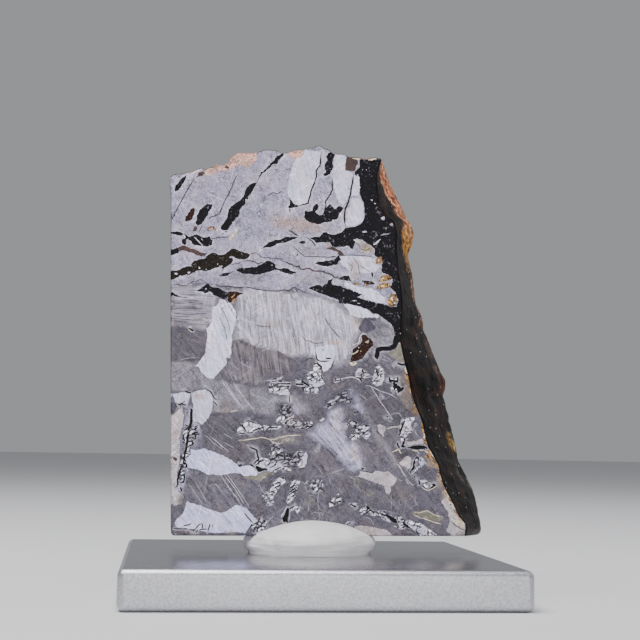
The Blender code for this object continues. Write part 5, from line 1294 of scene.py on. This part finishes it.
    def crust_colours(self, places: np.ndarray, depth: float, share: float,
                      is_top: np.ndarray) -> np.ndarray:
        """Colours of the natural surface at one ring.

        Args:
            places: The ring's points.
            depth: The ring's depth.
            share: How much of the crust's slope is reached there.
            is_top: Which points belong to the top.

        Returns:
            A linear colour for each point.
        """
        solid = np.column_stack((places[:, 0], np.full(len(places), depth * self.thickness), places[:, 1]))
        coarse, fine = noise_at(solid, self.patch_size, 3.0), noise_at(solid, self.fleck_size, 8.0)
        dark, warm, umber, amber = (rgb(c) for c in ("#0B0809", "#24140E", "#4E3014", "#A06A1C"))
        rust, pale, rose, stone = (rgb(c) for c in ("#A65C34", "#E4AC8C", "#A8705C", "#453A38"))
        tint = dark + (warm - dark) * smooth_step(-0.2, 0.7, coarse)[:, None]
        rows = places[:, 1]
        start = np.interp(rows, RUST_START[:, 0], RUST_START[:, 1])
        amount = smooth_step(start - 0.06, start + 0.1, share + 0.12 * coarse + 0.06 * fine)
        low = umber + (amber - umber) * smooth_step(*AMBER_ROWS, rows)[:, None]
        hue = low + (rust - low) * smooth_step(*RUST_ROWS, rows + coarse)[:, None]
        # Pale patches on the rust: partly pale rust and partly painted highlights on its grains
        pale_rust_and_highlight = smooth_step(0.0, 0.4, fine + 0.3 * coarse) * (0.3 + 0.6 * (rows > RUST_ROWS[0]))
        hue = hue + (pale - hue) * pale_rust_and_highlight[:, None]
        pores = smooth_step(0.05, 0.4, noise_at(solid, self.pore_size, 21.0))
        hue = hue + (dark - hue) * (0.85 * pores)[:, None]
        tint = tint + (hue - tint) * (amount * smooth_step(-1.1, -0.4, fine))[:, None]
        for spot in CRUST_SPOTS:
            near = np.exp(-((rows - spot.v) / spot.long) ** 2 - ((share - spot.share) / spot.across) ** 2)
            near = 0.85 * smooth_step(0.3, 1.0, near * (1.0 + 0.9 * fine + 0.5 * coarse))
            tint = tint + (rgb(spot.tint) - tint) * near[:, None]
        across = places[:, 0]
        left_part = smooth_step(13.0, 10.0, across) * smooth_step(4.0, 7.5, across)
        above = stone + (rose - stone) * np.clip(left_part + 0.5 * coarse, 0.0, 1.0)[:, None]
        above = above + (pale - above) * (smooth_step(0.1, 0.5, fine) * left_part)[:, None]
        return np.where(is_top[:, None], above, tint)

    def add_sides(self, shell: Shell, rings: list[np.ndarray], depths: np.ndarray, chart: Chart) -> None:
        """Adds the walls between the rings: sawn and etched at the left and below, crust elsewhere.

        Args:
            shell: The shell, which already holds the rings.
            rings: The outline at each depth.
            depths: Those depths.
            chart: The front face's marks, which run on into the sawn edges.
        """
        count = len(rings[0])
        column = np.arange(count)
        after = (column + 1) % count
        tops = (column >= self.left_steps) & (column < self.left_steps + self.top_steps)
        crusts = (column >= self.left_steps) & (column < count - self.bottom_steps)
        shares = np.interp(depths, CRUST_PROFILE[:, 0], CRUST_PROFILE[:, 1])
        colours = [self.crust_colours(r, d, s, tops) for r, d, s in zip(rings, depths, shares)]
        run = np.roll(rings[1], -2, axis=0) - np.roll(rings[1], 2, axis=0)
        run /= np.linalg.norm(run, axis=1)[:, None]
        inner = rings[1] + np.stack((run[:, 1], -run[:, 0]), axis=1) * 0.3
        moved = self.drift(inner)
        for index in range(len(rings) - 1):
            near, far = index * count, (index + 1) * count
            deep = (depths[index] + depths[index + 1]) / 2
            looked = (inner + np.roll(inner, -1, axis=0)) / 2 - moved * deep
            tint, etch, metal, minerals = self.values(chart.at(looked[~crusts]), chart)
            for a, b, c in (((column, 0), (after, 0), (after, 1)), ((column, 0), (after, 1), (column, 1))):
                order = np.stack([k + (near, far)[side] for k, side in (a, b, c)], axis=1)
                tints = np.stack([colours[index + side][k] for k, side in (a, b, c)], axis=1)
                etches = np.tile((0.0, 0.0, 1.0), (count, 3, 1))
                metals = np.tile((0.05, 0.0, 0.0), (count, 3, 1))
                tints[~crusts] = tint[:, None]
                etches[~crusts] = etch[:, None]
                metals[~crusts] = metal[:, None]
                finish = np.full(count, Finish.CRUST.value)
                hard = np.isin(minerals, [MINERALS.index(m) for m in HARD_OXIDES])
                finish[~crusts] = np.where(hard, Finish.OXIDE.value, Finish.IRON.value)
                shell.add_faces(order, tints, etches, metals, finish)

    def finished(self, shell: Shell) -> bpy.types.Object:
        """Turns the shell into an object with its attributes and finishes.

        Args:
            shell: The whole surface.

        Returns:
            The slice.
        """
        corners = np.vstack(shell.corners)
        low, high = np.array(CAD_BOX[0]), np.array(CAD_BOX[1])
        corners = np.clip(corners, low + 1e-6, high - 1e-6)
        triangles = np.vstack(shell.triangles)
        mesh = bpy.data.meshes.new("meteorite_slice")
        mesh.from_pydata(corners.tolist(), [], triangles.tolist())
        mesh.polygons.foreach_set("material_index", np.concatenate(shell.finish).astype(np.int32))
        tint = np.concatenate(shell.tint).reshape(-1, 3)
        tint = np.hstack((np.clip(tint, 0.0, 1.0), np.ones((len(tint), 1))))
        layer = mesh.color_attributes.new("tint", "FLOAT_COLOR", "CORNER")
        layer.data.foreach_set("color", tint.ravel())
        layer = mesh.attributes.new("etch", "FLOAT_VECTOR", "CORNER")
        layer.data.foreach_set("vector", np.concatenate(shell.etch).ravel())
        layer = mesh.attributes.new("cut", "FLOAT_VECTOR", "CORNER")
        layer.data.foreach_set("vector", np.concatenate(shell.cut).ravel())
        mesh.shade_smooth()
        mesh.set_sharp_from_angle(angle=math.radians(38))
        for finish in (EtchedIron(), VeinOxide(), WeatheredCrust()):
            mesh.materials.append(finish.build())
        made = bpy.data.objects.new("meteorite_slice", mesh)
        bpy.context.scene.collection.objects.link(made)
        return made


# Finishes


@dataclass(frozen=True)
class EtchedIron:
    """Nickel iron, sawn, ground and etched with acid.

    The acid bites each crystal differently, so that plates stand out in light and dark greys. The
    eye sees a dull metal sheen, lines of the last grinding, small grains, fine seams between
    crystals and long scratches. All sizes are in millimetres.
    """

    grain: float = 0.18
    crystal: float = 0.5
    seam_cell: float = 0.7
    script_cell: float = 0.5
    streak_width: float = 0.15
    streak_length: float = 2.2
    scratch_width: float = 0.9
    scratch_length: float = 24.0
    roughness: float = 0.4

    def build(self) -> bpy.types.Material:
        """Makes the material.

        Returns:
            The material.
        """
        made, tree, shader = new_material("nickel_iron_sawn_and_acid_etched")
        place = add_node(tree, "TexCoord").outputs["Object"]
        tint = add_node(tree, "Attribute", attribute_name="tint").outputs["Color"]
        etch = add_node(tree, "Attribute", attribute_name="etch").outputs["Vector"]
        cut = add_node(tree, "Attribute", attribute_name="cut").outputs["Vector"]
        lean, streak, mottle = add_node(tree, "SeparateXYZ", {0: etch}).outputs
        metal, script, _ = add_node(tree, "SeparateXYZ", {0: cut}).outputs
        turned = add_node(tree, "VectorRotate", {"Vector": place, "Axis": (0, 1, 0), "Angle": lean},
                          rotation_type="AXIS_ANGLE").outputs[0]
        bent = add_node(tree, "TexNoise", {"Vector": place, "Scale": per_mm(0.7), "Detail": 2.0})
        shift = add_node(tree, "VectorMath", {0: bent.outputs["Color"], 1: (0.5, 0.5, 0.5)},
                         operation="SUBTRACT").outputs[0]
        wavy = add_node(tree, "VectorMath", {0: shift, 1: (0.0008,) * 3, 2: place},
                        operation="MULTIPLY_ADD").outputs[0]
        wavy_turned = add_node(tree, "VectorMath", {0: shift, 1: (0.0007,) * 3, 2: turned},
                               operation="MULTIPLY_ADD").outputs[0]
        crystals = add_node(tree, "TexVoronoi", {"Vector": wavy, "Scale": per_mm(self.crystal)})
        crystal = add_node(tree, "SeparateColor", {0: crystals.outputs["Color"]}).outputs[0]
        grain = add_node(tree, "TexNoise", {"Vector": place, "Scale": per_mm(self.grain), "Detail": 2.0,
                                            "Roughness": 0.65}).outputs["Fac"]
        cloud = add_node(tree, "TexNoise", {"Vector": place, "Scale": per_mm(2.4), "Detail": 3.0})
        gain = self.sum_of(tree, (
            (self.drawn_noise(tree, turned, self.streak_width, self.streak_length), streak, 2.6),
            (self.drawn_noise(tree, turned, 3 * self.streak_width, 2 * self.streak_length), streak, 1.5),
            (crystal, mottle, 0.32), (grain, mottle, 2.3), (cloud.outputs["Fac"], mottle, 0.6),
            (self.seams(tree, wavy), mottle, -0.35)))
        lines = self.scratches(tree, place)
        lit = add_node(tree, "Math", {0: gain, 1: lines}, operation="ADD").outputs[0]
        held = add_node(tree, "Math", {0: lit, 1: 0.3}, operation="MAXIMUM").outputs[0]
        inked = add_node(tree, "Math", {0: held, 1: self.script(tree, wavy_turned, script)},
                         operation="MULTIPLY").outputs[0]
        warm = add_node(tree, "MapRange", {0: cloud.outputs["Fac"], 1: 0.42, 2: 0.68}).outputs[0]
        aged = add_node(tree, "Mix", {0: warm, 6: tint, 7: linear("#FFF8F1")}, data_type="RGBA",
                        blend_type="MULTIPLY").outputs[2]
        colour = add_node(tree, "VectorMath", {0: aged, 3: inked}, operation="SCALE").outputs[0]
        tree.links.new(colour, shader.inputs["Base Color"])
        tree.links.new(metal, shader.inputs["Metallic"])
        rough = add_node(tree, "MapRange", {0: grain, 3: self.roughness - 0.1, 4: self.roughness + 0.12})
        tree.links.new(rough.outputs[0], shader.inputs["Roughness"])
        bump = add_node(tree, "Bump", {"Strength": 0.35, "Distance": 0.00004, "Height": inked})
        tree.links.new(bump.outputs[0], shader.inputs["Normal"])
        return made

    def drawn_noise(self, tree: bpy.types.NodeTree, place: bpy.types.NodeSocket, width: float,
                    length: float) -> bpy.types.NodeSocket:
        """Noise drawn out upwards into streaks.

        Args:
            tree: The node tree.
            place: Coordinates, turned so that the streaks lie right.
            width: The width of a streak in millimetres.
            length: Its length.

        Returns:
            The noise.
        """
        thin, long = per_mm(width), per_mm(length)
        drawn = add_node(tree, "VectorMath", {0: place, 1: (thin, thin, long)}, operation="MULTIPLY")
        return add_node(tree, "TexNoise", {"Vector": drawn.outputs[0], "Scale": 1.0, "Detail": 1.0,
                                           "Roughness": 0.6}).outputs["Fac"]

    def seams(self, tree: bpy.types.NodeTree, place: bpy.types.NodeSocket) -> bpy.types.NodeSocket:
        """Fine dark seams between crystals, 0.5 where there is none and 1.5 in their middle."""
        cells = add_node(tree, "TexVoronoi", {"Vector": place, "Scale": per_mm(self.seam_cell)},
                         feature="DISTANCE_TO_EDGE").outputs["Distance"]
        line = add_node(tree, "MapRange", {0: cells, 1: 0.22, 2: 0.05}).outputs[0]
        where = add_node(tree, "TexNoise", {"Vector": place, "Scale": per_mm(1.7)}).outputs["Fac"]
        some = add_node(tree, "MapRange", {0: where, 1: 0.42, 2: 0.6}).outputs[0]
        return add_node(tree, "Math", {0: line, 1: some, 2: 0.5}, operation="MULTIPLY_ADD").outputs[0]

    def script(self, tree: bpy.types.NodeTree, place: bpy.types.NodeSocket,
               amount: bpy.types.NodeSocket) -> bpy.types.NodeSocket:
        """Clusters of small bright crystals, each with a black outline, like script on the face.

        Args:
            tree: The node tree.
            place: Coordinates, turned so that the crystals' long way is upright.
            amount: Where the clusters are.

        Returns:
            What the clusters multiply the colour by.
        """
        wide, long = per_mm(self.script_cell), per_mm(self.script_cell * 2.1)
        drawn = add_node(tree, "VectorMath", {0: place, 1: (wide, wide, long)}, operation="MULTIPLY")
        cells = add_node(tree, "TexVoronoi", {"Vector": drawn.outputs[0], "Scale": 1.0},
                         feature="DISTANCE_TO_EDGE").outputs["Distance"]
        body = add_node(tree, "MapRange", {0: cells, 1: 0.05, 2: 0.24, 3: 0.1, 4: 2.0}).outputs[0]
        toned = add_node(tree, "TexVoronoi", {"Vector": drawn.outputs[0], "Scale": 1.0})
        tone = add_node(tree, "SeparateColor", {0: toned.outputs["Color"]}).outputs[0]
        reach = add_node(tree, "Math", {0: tone, 1: 0.9, 2: amount}, operation="MULTIPLY_ADD").outputs[0]
        shown = add_node(tree, "MapRange", {0: reach, 1: 0.85, 2: 0.95}).outputs[0]
        return add_node(tree, "Mix", {0: shown, 2: 1.0, 3: body}).outputs[0]

    def sum_of(self, tree: bpy.types.NodeTree, layers: tuple) -> bpy.types.NodeSocket:
        """Adds up patterns around 1.

        Args:
            tree: The node tree.
            layers: For each pattern its output, the output of its strength, and its weight.

        Returns:
            The sum, which is about 1 on average.
        """
        total = 1.0
        for pattern, strength, weight in layers:
            centred = add_node(tree, "Math", {0: pattern, 1: 0.5}, operation="SUBTRACT").outputs[0]
            scaled = add_node(tree, "Math", {0: centred, 1: weight}, operation="MULTIPLY").outputs[0]
            total = add_node(tree, "Math", {0: scaled, 1: strength, 2: total},
                             operation="MULTIPLY_ADD").outputs[0]
        return total

    def scratches(self, tree: bpy.types.NodeTree, place: bpy.types.NodeSocket) -> bpy.types.NodeSocket:
        """Fine bright scratches in several directions, left by handling.

        Args:
            tree: The node tree.
            place: Object coordinates.

        Returns:
            What the scratches add to the brightness.
        """
        total = 0.0
        for lean, shift in ((40.0, 0.0), (28.0, 0.011), (-57.0, 0.023), (72.0, 0.037), (-12.0, 0.05)):
            moved = add_node(tree, "VectorMath", {0: place, 1: (shift, shift, shift)}).outputs[0]
            turned = add_node(tree, "VectorRotate", {"Vector": moved, "Axis": (0, 1, 0),
                                                     "Angle": math.radians(lean)},
                              rotation_type="AXIS_ANGLE").outputs[0]
            level = self.drawn_noise(tree, turned, self.scratch_width, self.scratch_length)
            off = add_node(tree, "Math", {0: level, 1: 0.5}, operation="SUBTRACT").outputs[0]
            near = add_node(tree, "Math", {0: off}, operation="ABSOLUTE").outputs[0]
            line = add_node(tree, "MapRange", {0: near, 1: 0.022, 2: 0.004}).outputs[0]
            where = add_node(tree, "TexNoise", {"Vector": moved, "Scale": per_mm(3.4), "Detail": 1.0})
            some = add_node(tree, "MapRange", {0: where.outputs["Fac"], 1: 0.5, 2: 0.62, 4: 0.38})
            total = add_node(tree, "Math", {0: line, 1: some.outputs[0], 2: total},
                             operation="MULTIPLY_ADD").outputs[0]
        return total


@dataclass(frozen=True)
class VeinOxide:
    """Iron oxide that fills the veins: near black and crumbly, with bright specks of metal left in it."""

    grain: float = 0.22
    fleck: float = 0.3

    def build(self) -> bpy.types.Material:
        """Makes the material.

        Returns:
            The material.
        """
        made, tree, shader = new_material("iron_oxide_vein_filling")
        place = add_node(tree, "TexCoord").outputs["Object"]
        tint = add_node(tree, "Attribute", attribute_name="tint").outputs["Color"]
        etch = add_node(tree, "Attribute", attribute_name="etch").outputs["Vector"]
        mottle = add_node(tree, "SeparateXYZ", {0: etch}).outputs[2]
        grain = add_node(tree, "TexNoise", {"Vector": place, "Scale": per_mm(self.grain), "Detail": 3.0,
                                            "Roughness": 0.7}).outputs["Fac"]
        bed = add_node(tree, "TexNoise", {"Vector": place, "Scale": per_mm(1.6), "Detail": 2.0})
        lit = add_node(tree, "MapRange", {0: grain, 1: 0.35, 2: 0.7, 3: 0.35, 4: 2.4}).outputs[0]
        dull = add_node(tree, "VectorMath", {0: tint, 3: lit}, operation="SCALE").outputs[0]
        specks = add_node(tree, "TexNoise", {"Vector": place, "Scale": per_mm(self.fleck), "Detail": 2.0,
                                             "Roughness": 0.65}).outputs["Fac"]
        rich = add_node(tree, "Math", {0: bed.outputs["Fac"], 1: 0.35, 2: specks},
                        operation="MULTIPLY_ADD").outputs[0]
        flecks = add_node(tree, "MapRange", {0: rich, 1: 0.8, 2: 0.88}).outputs[0]
        shown = add_node(tree, "Math", {0: flecks, 1: mottle}, operation="MULTIPLY").outputs[0]
        colour = add_node(tree, "Mix", {0: shown, 6: dull, 7: linear("#77727B")}, data_type="RGBA")
        tree.links.new(colour.outputs[2], shader.inputs["Base Color"])
        tree.links.new(shown, shader.inputs["Metallic"])
        shader.inputs["Roughness"].default_value = 0.48
        shader.inputs["Specular IOR Level"].default_value = 0.15
        bump = add_node(tree, "Bump", {"Strength": 0.6, "Distance": 0.00008, "Height": grain})
        tree.links.new(bump.outputs[0], shader.inputs["Normal"])
        return made


@dataclass(frozen=True)
class WeatheredCrust:
    """The meteorite's outside: magnetite and goethite, left by fire and then by damp soil.

    It is brown-black with fine ledges along the edge, a waxy gloss and a rusty rim. Its sparks of
    light on the grains are painted highlights: bright dots put into the base colour.
    """

    grain: float = 0.3
    thread_width: float = 0.25
    thread_length: float = 3.0

    def build(self) -> bpy.types.Material:
        """Makes the material.

        Returns:
            The material.
        """
        made, tree, shader = new_material("meteorite_crust_weathered")
        place = add_node(tree, "TexCoord").outputs["Object"]
        tint = add_node(tree, "Attribute", attribute_name="tint").outputs["Color"]
        thin, long = per_mm(self.thread_width), per_mm(self.thread_length)
        turned = add_node(tree, "VectorRotate", {"Vector": place, "Axis": (0, 1, 0),
                                                 "Angle": math.radians(16.0)},
                          rotation_type="AXIS_ANGLE").outputs[0]
        drawn = add_node(tree, "VectorMath", {0: turned, 1: (thin, thin, long)}, operation="MULTIPLY")
        threads = add_node(tree, "TexNoise", {"Vector": drawn.outputs[0], "Scale": 1.0, "Detail": 2.0})
        grain = add_node(tree, "TexNoise", {"Vector": place, "Scale": per_mm(self.grain), "Detail": 3.0,
                                            "Roughness": 0.7}).outputs["Fac"]
        both = add_node(tree, "Math", {0: threads.outputs["Fac"], 1: grain}, operation="ADD").outputs[0]
        lit = add_node(tree, "MapRange", {0: both, 1: 0.75, 2: 1.3, 3: 0.2, 4: 2.6}).outputs[0]
        base = add_node(tree, "VectorMath", {0: tint, 3: lit}, operation="SCALE").outputs[0]
        # Painted highlights: sparse small bright dots mixed into the base colour stand in for glints of
        # light on the grains
        painted_glint_cells = add_node(tree, "TexVoronoi", {"Vector": place, "Scale": per_mm(0.55)})
        painted_glint_dot = add_node(tree, "MapRange", {0: painted_glint_cells.outputs["Distance"], 1: 0.16, 2: 0.1}).outputs[0]
        chance = add_node(tree, "SeparateColor", {0: painted_glint_cells.outputs["Color"]}).outputs[0]
        chosen = add_node(tree, "MapRange", {0: chance, 1: 0.8, 2: 0.84}).outputs[0]
        shown = add_node(tree, "Math", {0: painted_glint_dot, 1: chosen}, operation="MULTIPLY").outputs[0]
        colour = add_node(tree, "Mix", {0: shown, 6: base, 7: linear("#DDD5D5")}, data_type="RGBA")
        tree.links.new(colour.outputs[2], shader.inputs["Base Color"])
        shader.inputs["Roughness"].default_value = 0.4
        shader.inputs["Specular IOR Level"].default_value = 0.12
        bump = add_node(tree, "Bump", {"Strength": 0.7, "Distance": 0.0001, "Height": both})
        tree.links.new(bump.outputs[0], shader.inputs["Normal"])
        return made


@dataclass(frozen=True)
class BarAluminium:
    """Aluminium bar stock, sawn off and bead blasted: satin, with fine pits and a few scratches."""

    pit: float = 0.28
    scratch_width: float = 0.1
    scratch_length: float = 9.0
    tint: str = "#C9C9CE"

    def build(self) -> bpy.types.Material:
        """Makes the material.

        Returns:
            The material.
        """
        made, tree, shader = new_material("aluminium_bar_bead_blasted")
        place = add_node(tree, "TexCoord").outputs["Object"]
        pits = add_node(tree, "TexNoise", {"Vector": place, "Scale": per_mm(self.pit), "Detail": 2.0,
                                           "Roughness": 0.6}).outputs["Fac"]
        cloud = add_node(tree, "TexNoise", {"Vector": place, "Scale": per_mm(5.0), "Detail": 2.0})
        thin, long = per_mm(self.scratch_width), per_mm(self.scratch_length)
        turned = add_node(tree, "VectorRotate", {"Vector": place, "Axis": (0, 0, 1),
                                                 "Angle": math.radians(28.0)},
                          rotation_type="AXIS_ANGLE").outputs[0]
        drawn = add_node(tree, "VectorMath", {0: turned, 1: (thin, long, thin)}, operation="MULTIPLY")
        lines = add_node(tree, "TexNoise", {"Vector": drawn.outputs[0], "Scale": 1.0, "Detail": 0.0})
        line = add_node(tree, "MapRange", {0: lines.outputs["Fac"], 1: 0.68, 2: 0.8}).outputs[0]
        lit = add_node(tree, "MapRange", {0: pits, 1: 0.3, 2: 0.7, 3: 0.78, 4: 1.12}).outputs[0]
        brighter = add_node(tree, "Math", {0: line, 1: 0.12, 2: lit}, operation="MULTIPLY_ADD").outputs[0]
        colour = add_node(tree, "VectorMath", {0: linear(self.tint)[:3], 3: brighter}, operation="SCALE")
        tree.links.new(colour.outputs[0], shader.inputs["Base Color"])
        shader.inputs["Metallic"].default_value = 1.0
        facing = add_node(tree, "TexCoord").outputs["Normal"]
        upward = add_node(tree, "SeparateXYZ", {0: facing}).outputs[2]
        rolled = add_node(tree, "MapRange", {0: upward, 1: 0.9, 2: 0.99, 3: 0.36, 4: 0.17}).outputs[0]
        rough = add_node(tree, "Math", {0: cloud.outputs["Fac"], 1: 0.12, 2: rolled},
                         operation="MULTIPLY_ADD").outputs[0]
        tree.links.new(rough, shader.inputs["Roughness"])
        height = add_node(tree, "Math", {0: line, 1: -0.5, 2: pits}, operation="MULTIPLY_ADD").outputs[0]
        bump = add_node(tree, "Bump", {"Strength": 0.5, "Distance": 0.00006, "Height": height})
        tree.links.new(bump.outputs[0], shader.inputs["Normal"])
        return made


@dataclass(frozen=True)
class MountingPutty:
    """White mounting putty, kneaded and pressed by hand: soft, slightly see-through, with small dents."""

    tint: str = "#EFEBEC"

    def build(self) -> bpy.types.Material:
        """Makes the material.

        Returns:
            The material.
        """
        made, tree, shader = new_material("mounting_putty_kneaded")
        place = add_node(tree, "TexCoord").outputs["Object"]
        cloud = add_node(tree, "TexNoise", {"Vector": place, "Scale": per_mm(2.0), "Detail": 3.0})
        dust = add_node(tree, "TexVoronoi", {"Vector": place, "Scale": per_mm(0.9)})
        speck = add_node(tree, "MapRange", {0: dust.outputs["Distance"], 1: 0.1, 2: 0.06}).outputs[0]
        tone = add_node(tree, "MapRange", {0: cloud.outputs["Fac"], 1: 0.3, 2: 0.7, 3: 0.93, 4: 1.02})
        dulled = add_node(tree, "Math", {0: speck, 1: -0.2, 2: tone.outputs[0]},
                          operation="MULTIPLY_ADD").outputs[0]
        colour = add_node(tree, "VectorMath", {0: linear(self.tint)[:3], 3: dulled}, operation="SCALE")
        tree.links.new(colour.outputs[0], shader.inputs["Base Color"])
        shader.inputs["Roughness"].default_value = 0.5
        shader.inputs["IOR"].default_value = 1.5
        shader.inputs["Subsurface Weight"].default_value = 0.25
        shader.inputs["Subsurface Radius"].default_value = (1.0, 0.9, 0.8)
        shader.inputs["Subsurface Scale"].default_value = 0.0008
        bump = add_node(tree, "Bump", {"Strength": 0.3, "Distance": 0.0002,
                                       "Height": cloud.outputs["Fac"]})
        tree.links.new(bump.outputs[0], shader.inputs["Normal"])
        return made


@dataclass(frozen=True)
class PaleFloor:
    """A plain pale tabletop, matt, without a pattern."""

    tint: str = "#D9D9DB"

    def build(self) -> bpy.types.Material:
        """Makes the material.

        Returns:
            The material.
        """
        made, _, shader = new_material("pale_matt_board")
        shader.inputs["Base Color"].default_value = linear(self.tint)
        shader.inputs["Roughness"].default_value = 0.7
        return made


def add_mesh(name: str, shape: bmesh.types.BMesh, material: bpy.types.Material,
             sharp: float) -> bpy.types.Object:
    """Makes an object from a bmesh.

    Args:
        name: The object's name.
        shape: The bmesh, which is freed.
        material: Its finish.
        sharp: The angle in degrees above which an edge stays sharp.

    Returns:
        The object.
    """
    bmesh.ops.recalc_face_normals(shape, faces=shape.faces)
    mesh = bpy.data.meshes.new(name)
    shape.to_mesh(mesh)
    shape.free()
    mesh.shade_smooth()
    mesh.set_sharp_from_angle(angle=math.radians(sharp))
    mesh.materials.append(material)
    made = bpy.data.objects.new(name, mesh)
    bpy.context.scene.collection.objects.link(made)
    return made


@dataclass
class PuttyPat:
    """The pat of putty: a squashed pebble that closes round the foot of the slice.

    Its shape is the solid's, with softer dents and the fold that a thumb left at the front.
    """

    centre: tuple[float, float] = (0.15, -0.7)
    half_width: float = 9.05
    half_depth: float = 6.8
    waist: float = 1.5
    top: float = 4.85
    foot_share: float = 0.9
    underside_swell: float = 0.9
    foot_cut: float = 1.25
    plate_top: float = 5.0
    sides: int = 200
    rings: int = 110

    def place(self, point: Vector) -> Vector:
        """Where a point of a ball of radius 1 goes on the putty.

        Args:
            point: The point of the ball.

        Returns:
            Its place in millimetres.
        """
        x, y, z = point
        below = max(0.0, -z)
        reach = math.hypot(x, y)
        foot = 1.0 - (1.0 - self.foot_share) * below
        spread = 1.0 + self.underside_swell * below
        if reach > 0.0:
            spread = min(spread * foot, foot / reach)
        spread += 0.28 / self.half_depth * noise.noise(point * 2.5)
        spread += 0.01 * noise.noise(point * 7.0)
        if z > 0:
            fall = 1.0 - 0.22 * max(0.0, -x) ** 1.3 - 0.1 * max(0.0, x) ** 2
            height = self.waist + z * fall * (self.top - self.waist)
            height += 0.05 * noise.noise(point * 6.0)
        else:
            height = self.waist + max(-1.0, z * self.foot_cut) * self.waist
        made = Vector((self.centre[0] + x * spread * self.half_width,
                       self.centre[1] + y * spread * self.half_depth, self.plate_top + height))
        return made - self.crease(made)

    def crease(self, place: Vector) -> Vector:
        """How far the soft fold at the front left presses a point in.

        Args:
            place: The point in millimetres.

        Returns:
            The inward move.
        """
        line = (place.x + 5.3) + 0.42 * (place.z - 6.7)
        if place.y > -3.0:
            return Vector((0.0, 0.0, 0.0))
        depth = 0.2 * math.exp(-(line / 0.45) ** 2) * min(1.0, (-3.0 - place.y) / 1.0)
        return Vector((0.0, -depth, 0.3 * depth))

    def build(self) -> bpy.types.Object:
        """Builds and dresses the putty.

        Returns:
            The putty.
        """
        shape = bmesh.new()
        bmesh.ops.create_uvsphere(shape, u_segments=self.sides, v_segments=self.rings, radius=1.0)
        for corner in shape.verts:
            corner.co = self.place(corner.co) * MM
        return add_mesh("putty_pat", shape, MountingPutty().build(), 60.0)


@dataclass
class BarPlate:
    """The plate: a sawn length of flat bar with worn, rounded edges."""

    side: float = 50.0
    thickness: float = 5.0
    edge_radius: float = 0.9
    edge_segments: int = 7

    def build(self) -> bpy.types.Object:
        """Builds and dresses the plate.

        Returns:
            The plate.
        """
        shape = bmesh.new()
        bmesh.ops.create_cube(shape, size=1.0)
        bmesh.ops.scale(shape, verts=shape.verts, vec=Vector((self.side, self.side, self.thickness)) * MM)
        bmesh.ops.translate(shape, verts=shape.verts, vec=Vector((0.0, 0.0, self.thickness / 2)) * MM)
        bmesh.ops.bevel(shape, geom=list(shape.edges), offset=self.edge_radius * MM,
                        segments=self.edge_segments, profile=0.5, affect="EDGES")
        return add_mesh("bar_plate", shape, BarAluminium().build(), 30.0)


@dataclass
class Studio:
    """The floor, the soft lights and the camera."""

    eye: tuple[float, float, float] = (-20.13, -181.26, 19.51)
    yaw: float = 6.7108
    pitch: float = 5.5201
    roll: float = 0.9239
    focal_pixels: float = 1312.957
    sensor: float = 36.0

    def camera(self) -> None:
        """Sets up the camera where the photographer held theirs."""
        yaw, pitch, roll = (math.radians(a) for a in (self.yaw, self.pitch, self.roll))
        ahead = Vector((math.sin(yaw) * math.cos(pitch), math.cos(yaw) * math.cos(pitch), math.sin(pitch)))
        right = Vector((math.cos(yaw), -math.sin(yaw), 0.0))
        up = right.cross(ahead)
        lean, rise = math.sin(roll), math.cos(roll)
        right, up = right * rise + up * lean, up * rise - right * lean
        data = bpy.data.cameras.new("camera")
        data.sensor_width = self.sensor
        data.lens = self.focal_pixels / PIXELS * self.sensor
        data.clip_start, data.clip_end = 0.005, 10.0
        made = bpy.data.objects.new("camera", data)
        turn = Matrix((right, up, -ahead)).transposed().to_4x4()
        made.matrix_world = Matrix.Translation(Vector(self.eye) * MM) @ turn
        bpy.context.scene.collection.objects.link(made)
        bpy.context.scene.camera = made

    def light(self, name: str, place: tuple, aim: tuple, size: tuple, power: float) -> None:
        """Adds one soft box.

        Args:
            name: Its name.
            place: Where it hangs, in millimetres.
            aim: Where it points.
            size: Its width and height in millimetres.
            power: Its power in watts.
        """
        data = bpy.data.lights.new(name, "AREA")
        data.shape = "RECTANGLE"
        data.size, data.size_y = size[0] * MM, size[1] * MM
        data.energy = power
        made = bpy.data.objects.new(name, data)
        made.location = Vector(place) * MM
        made.rotation_euler = (Vector(aim) - Vector(place)).to_track_quat("-Z", "Y").to_euler()
        bpy.context.scene.collection.objects.link(made)

    def floor(self) -> None:
        """Adds the floor, a wide plain disc just under the plate."""
        shape = bmesh.new()
        bmesh.ops.create_circle(shape, cap_ends=True, segments=96, radius=2.5)
        made = add_mesh("floor", shape, PaleFloor().build(), 30.0)

    def build(self) -> None:
        """Sets up the whole studio."""
        self.floor()
        self.light("front", (60, -560, 120), (0, 0, 30), (420, 360), 1.15)
        self.light("top", (-100, -60, 400), (0, 0, 20), (320, 320), 2.6)
        self.light("side", (320, 120, 180), (0, 0, 35), (240, 240), 0.15)
        world = bpy.data.worlds.new("studio")
        world.use_nodes = True
        shade = world.node_tree.nodes["Background"]
        shade.inputs["Color"].default_value = linear("#E2E4E8")
        shade.inputs["Strength"].default_value = 0.42
        bpy.context.scene.world = world
        self.camera()


def settle(piece: bpy.types.Object, node: str) -> None:
    """Ties a piece to the frame, hides the solid that it stands for, and logs how many faces it has."""
    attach(piece, "root")
    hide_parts(node)
    LOG.info("%s: %d faces", piece.name, len(piece.data.polygons))


def main() -> None:
    """Builds the slice, its putty and its plate, and the studio around them."""
    logging.basicConfig(level=logging.INFO, format="%(name)s %(message)s")
    noise.seed_set(NOISE_SEED)
    settle(BarPlate().build(), "plate")
    settle(PuttyPat().build(), "putty")
    settle(MeteoriteSlice().build(), "meteorite")
    Studio().build()


if __name__ == "__main__":
    main()
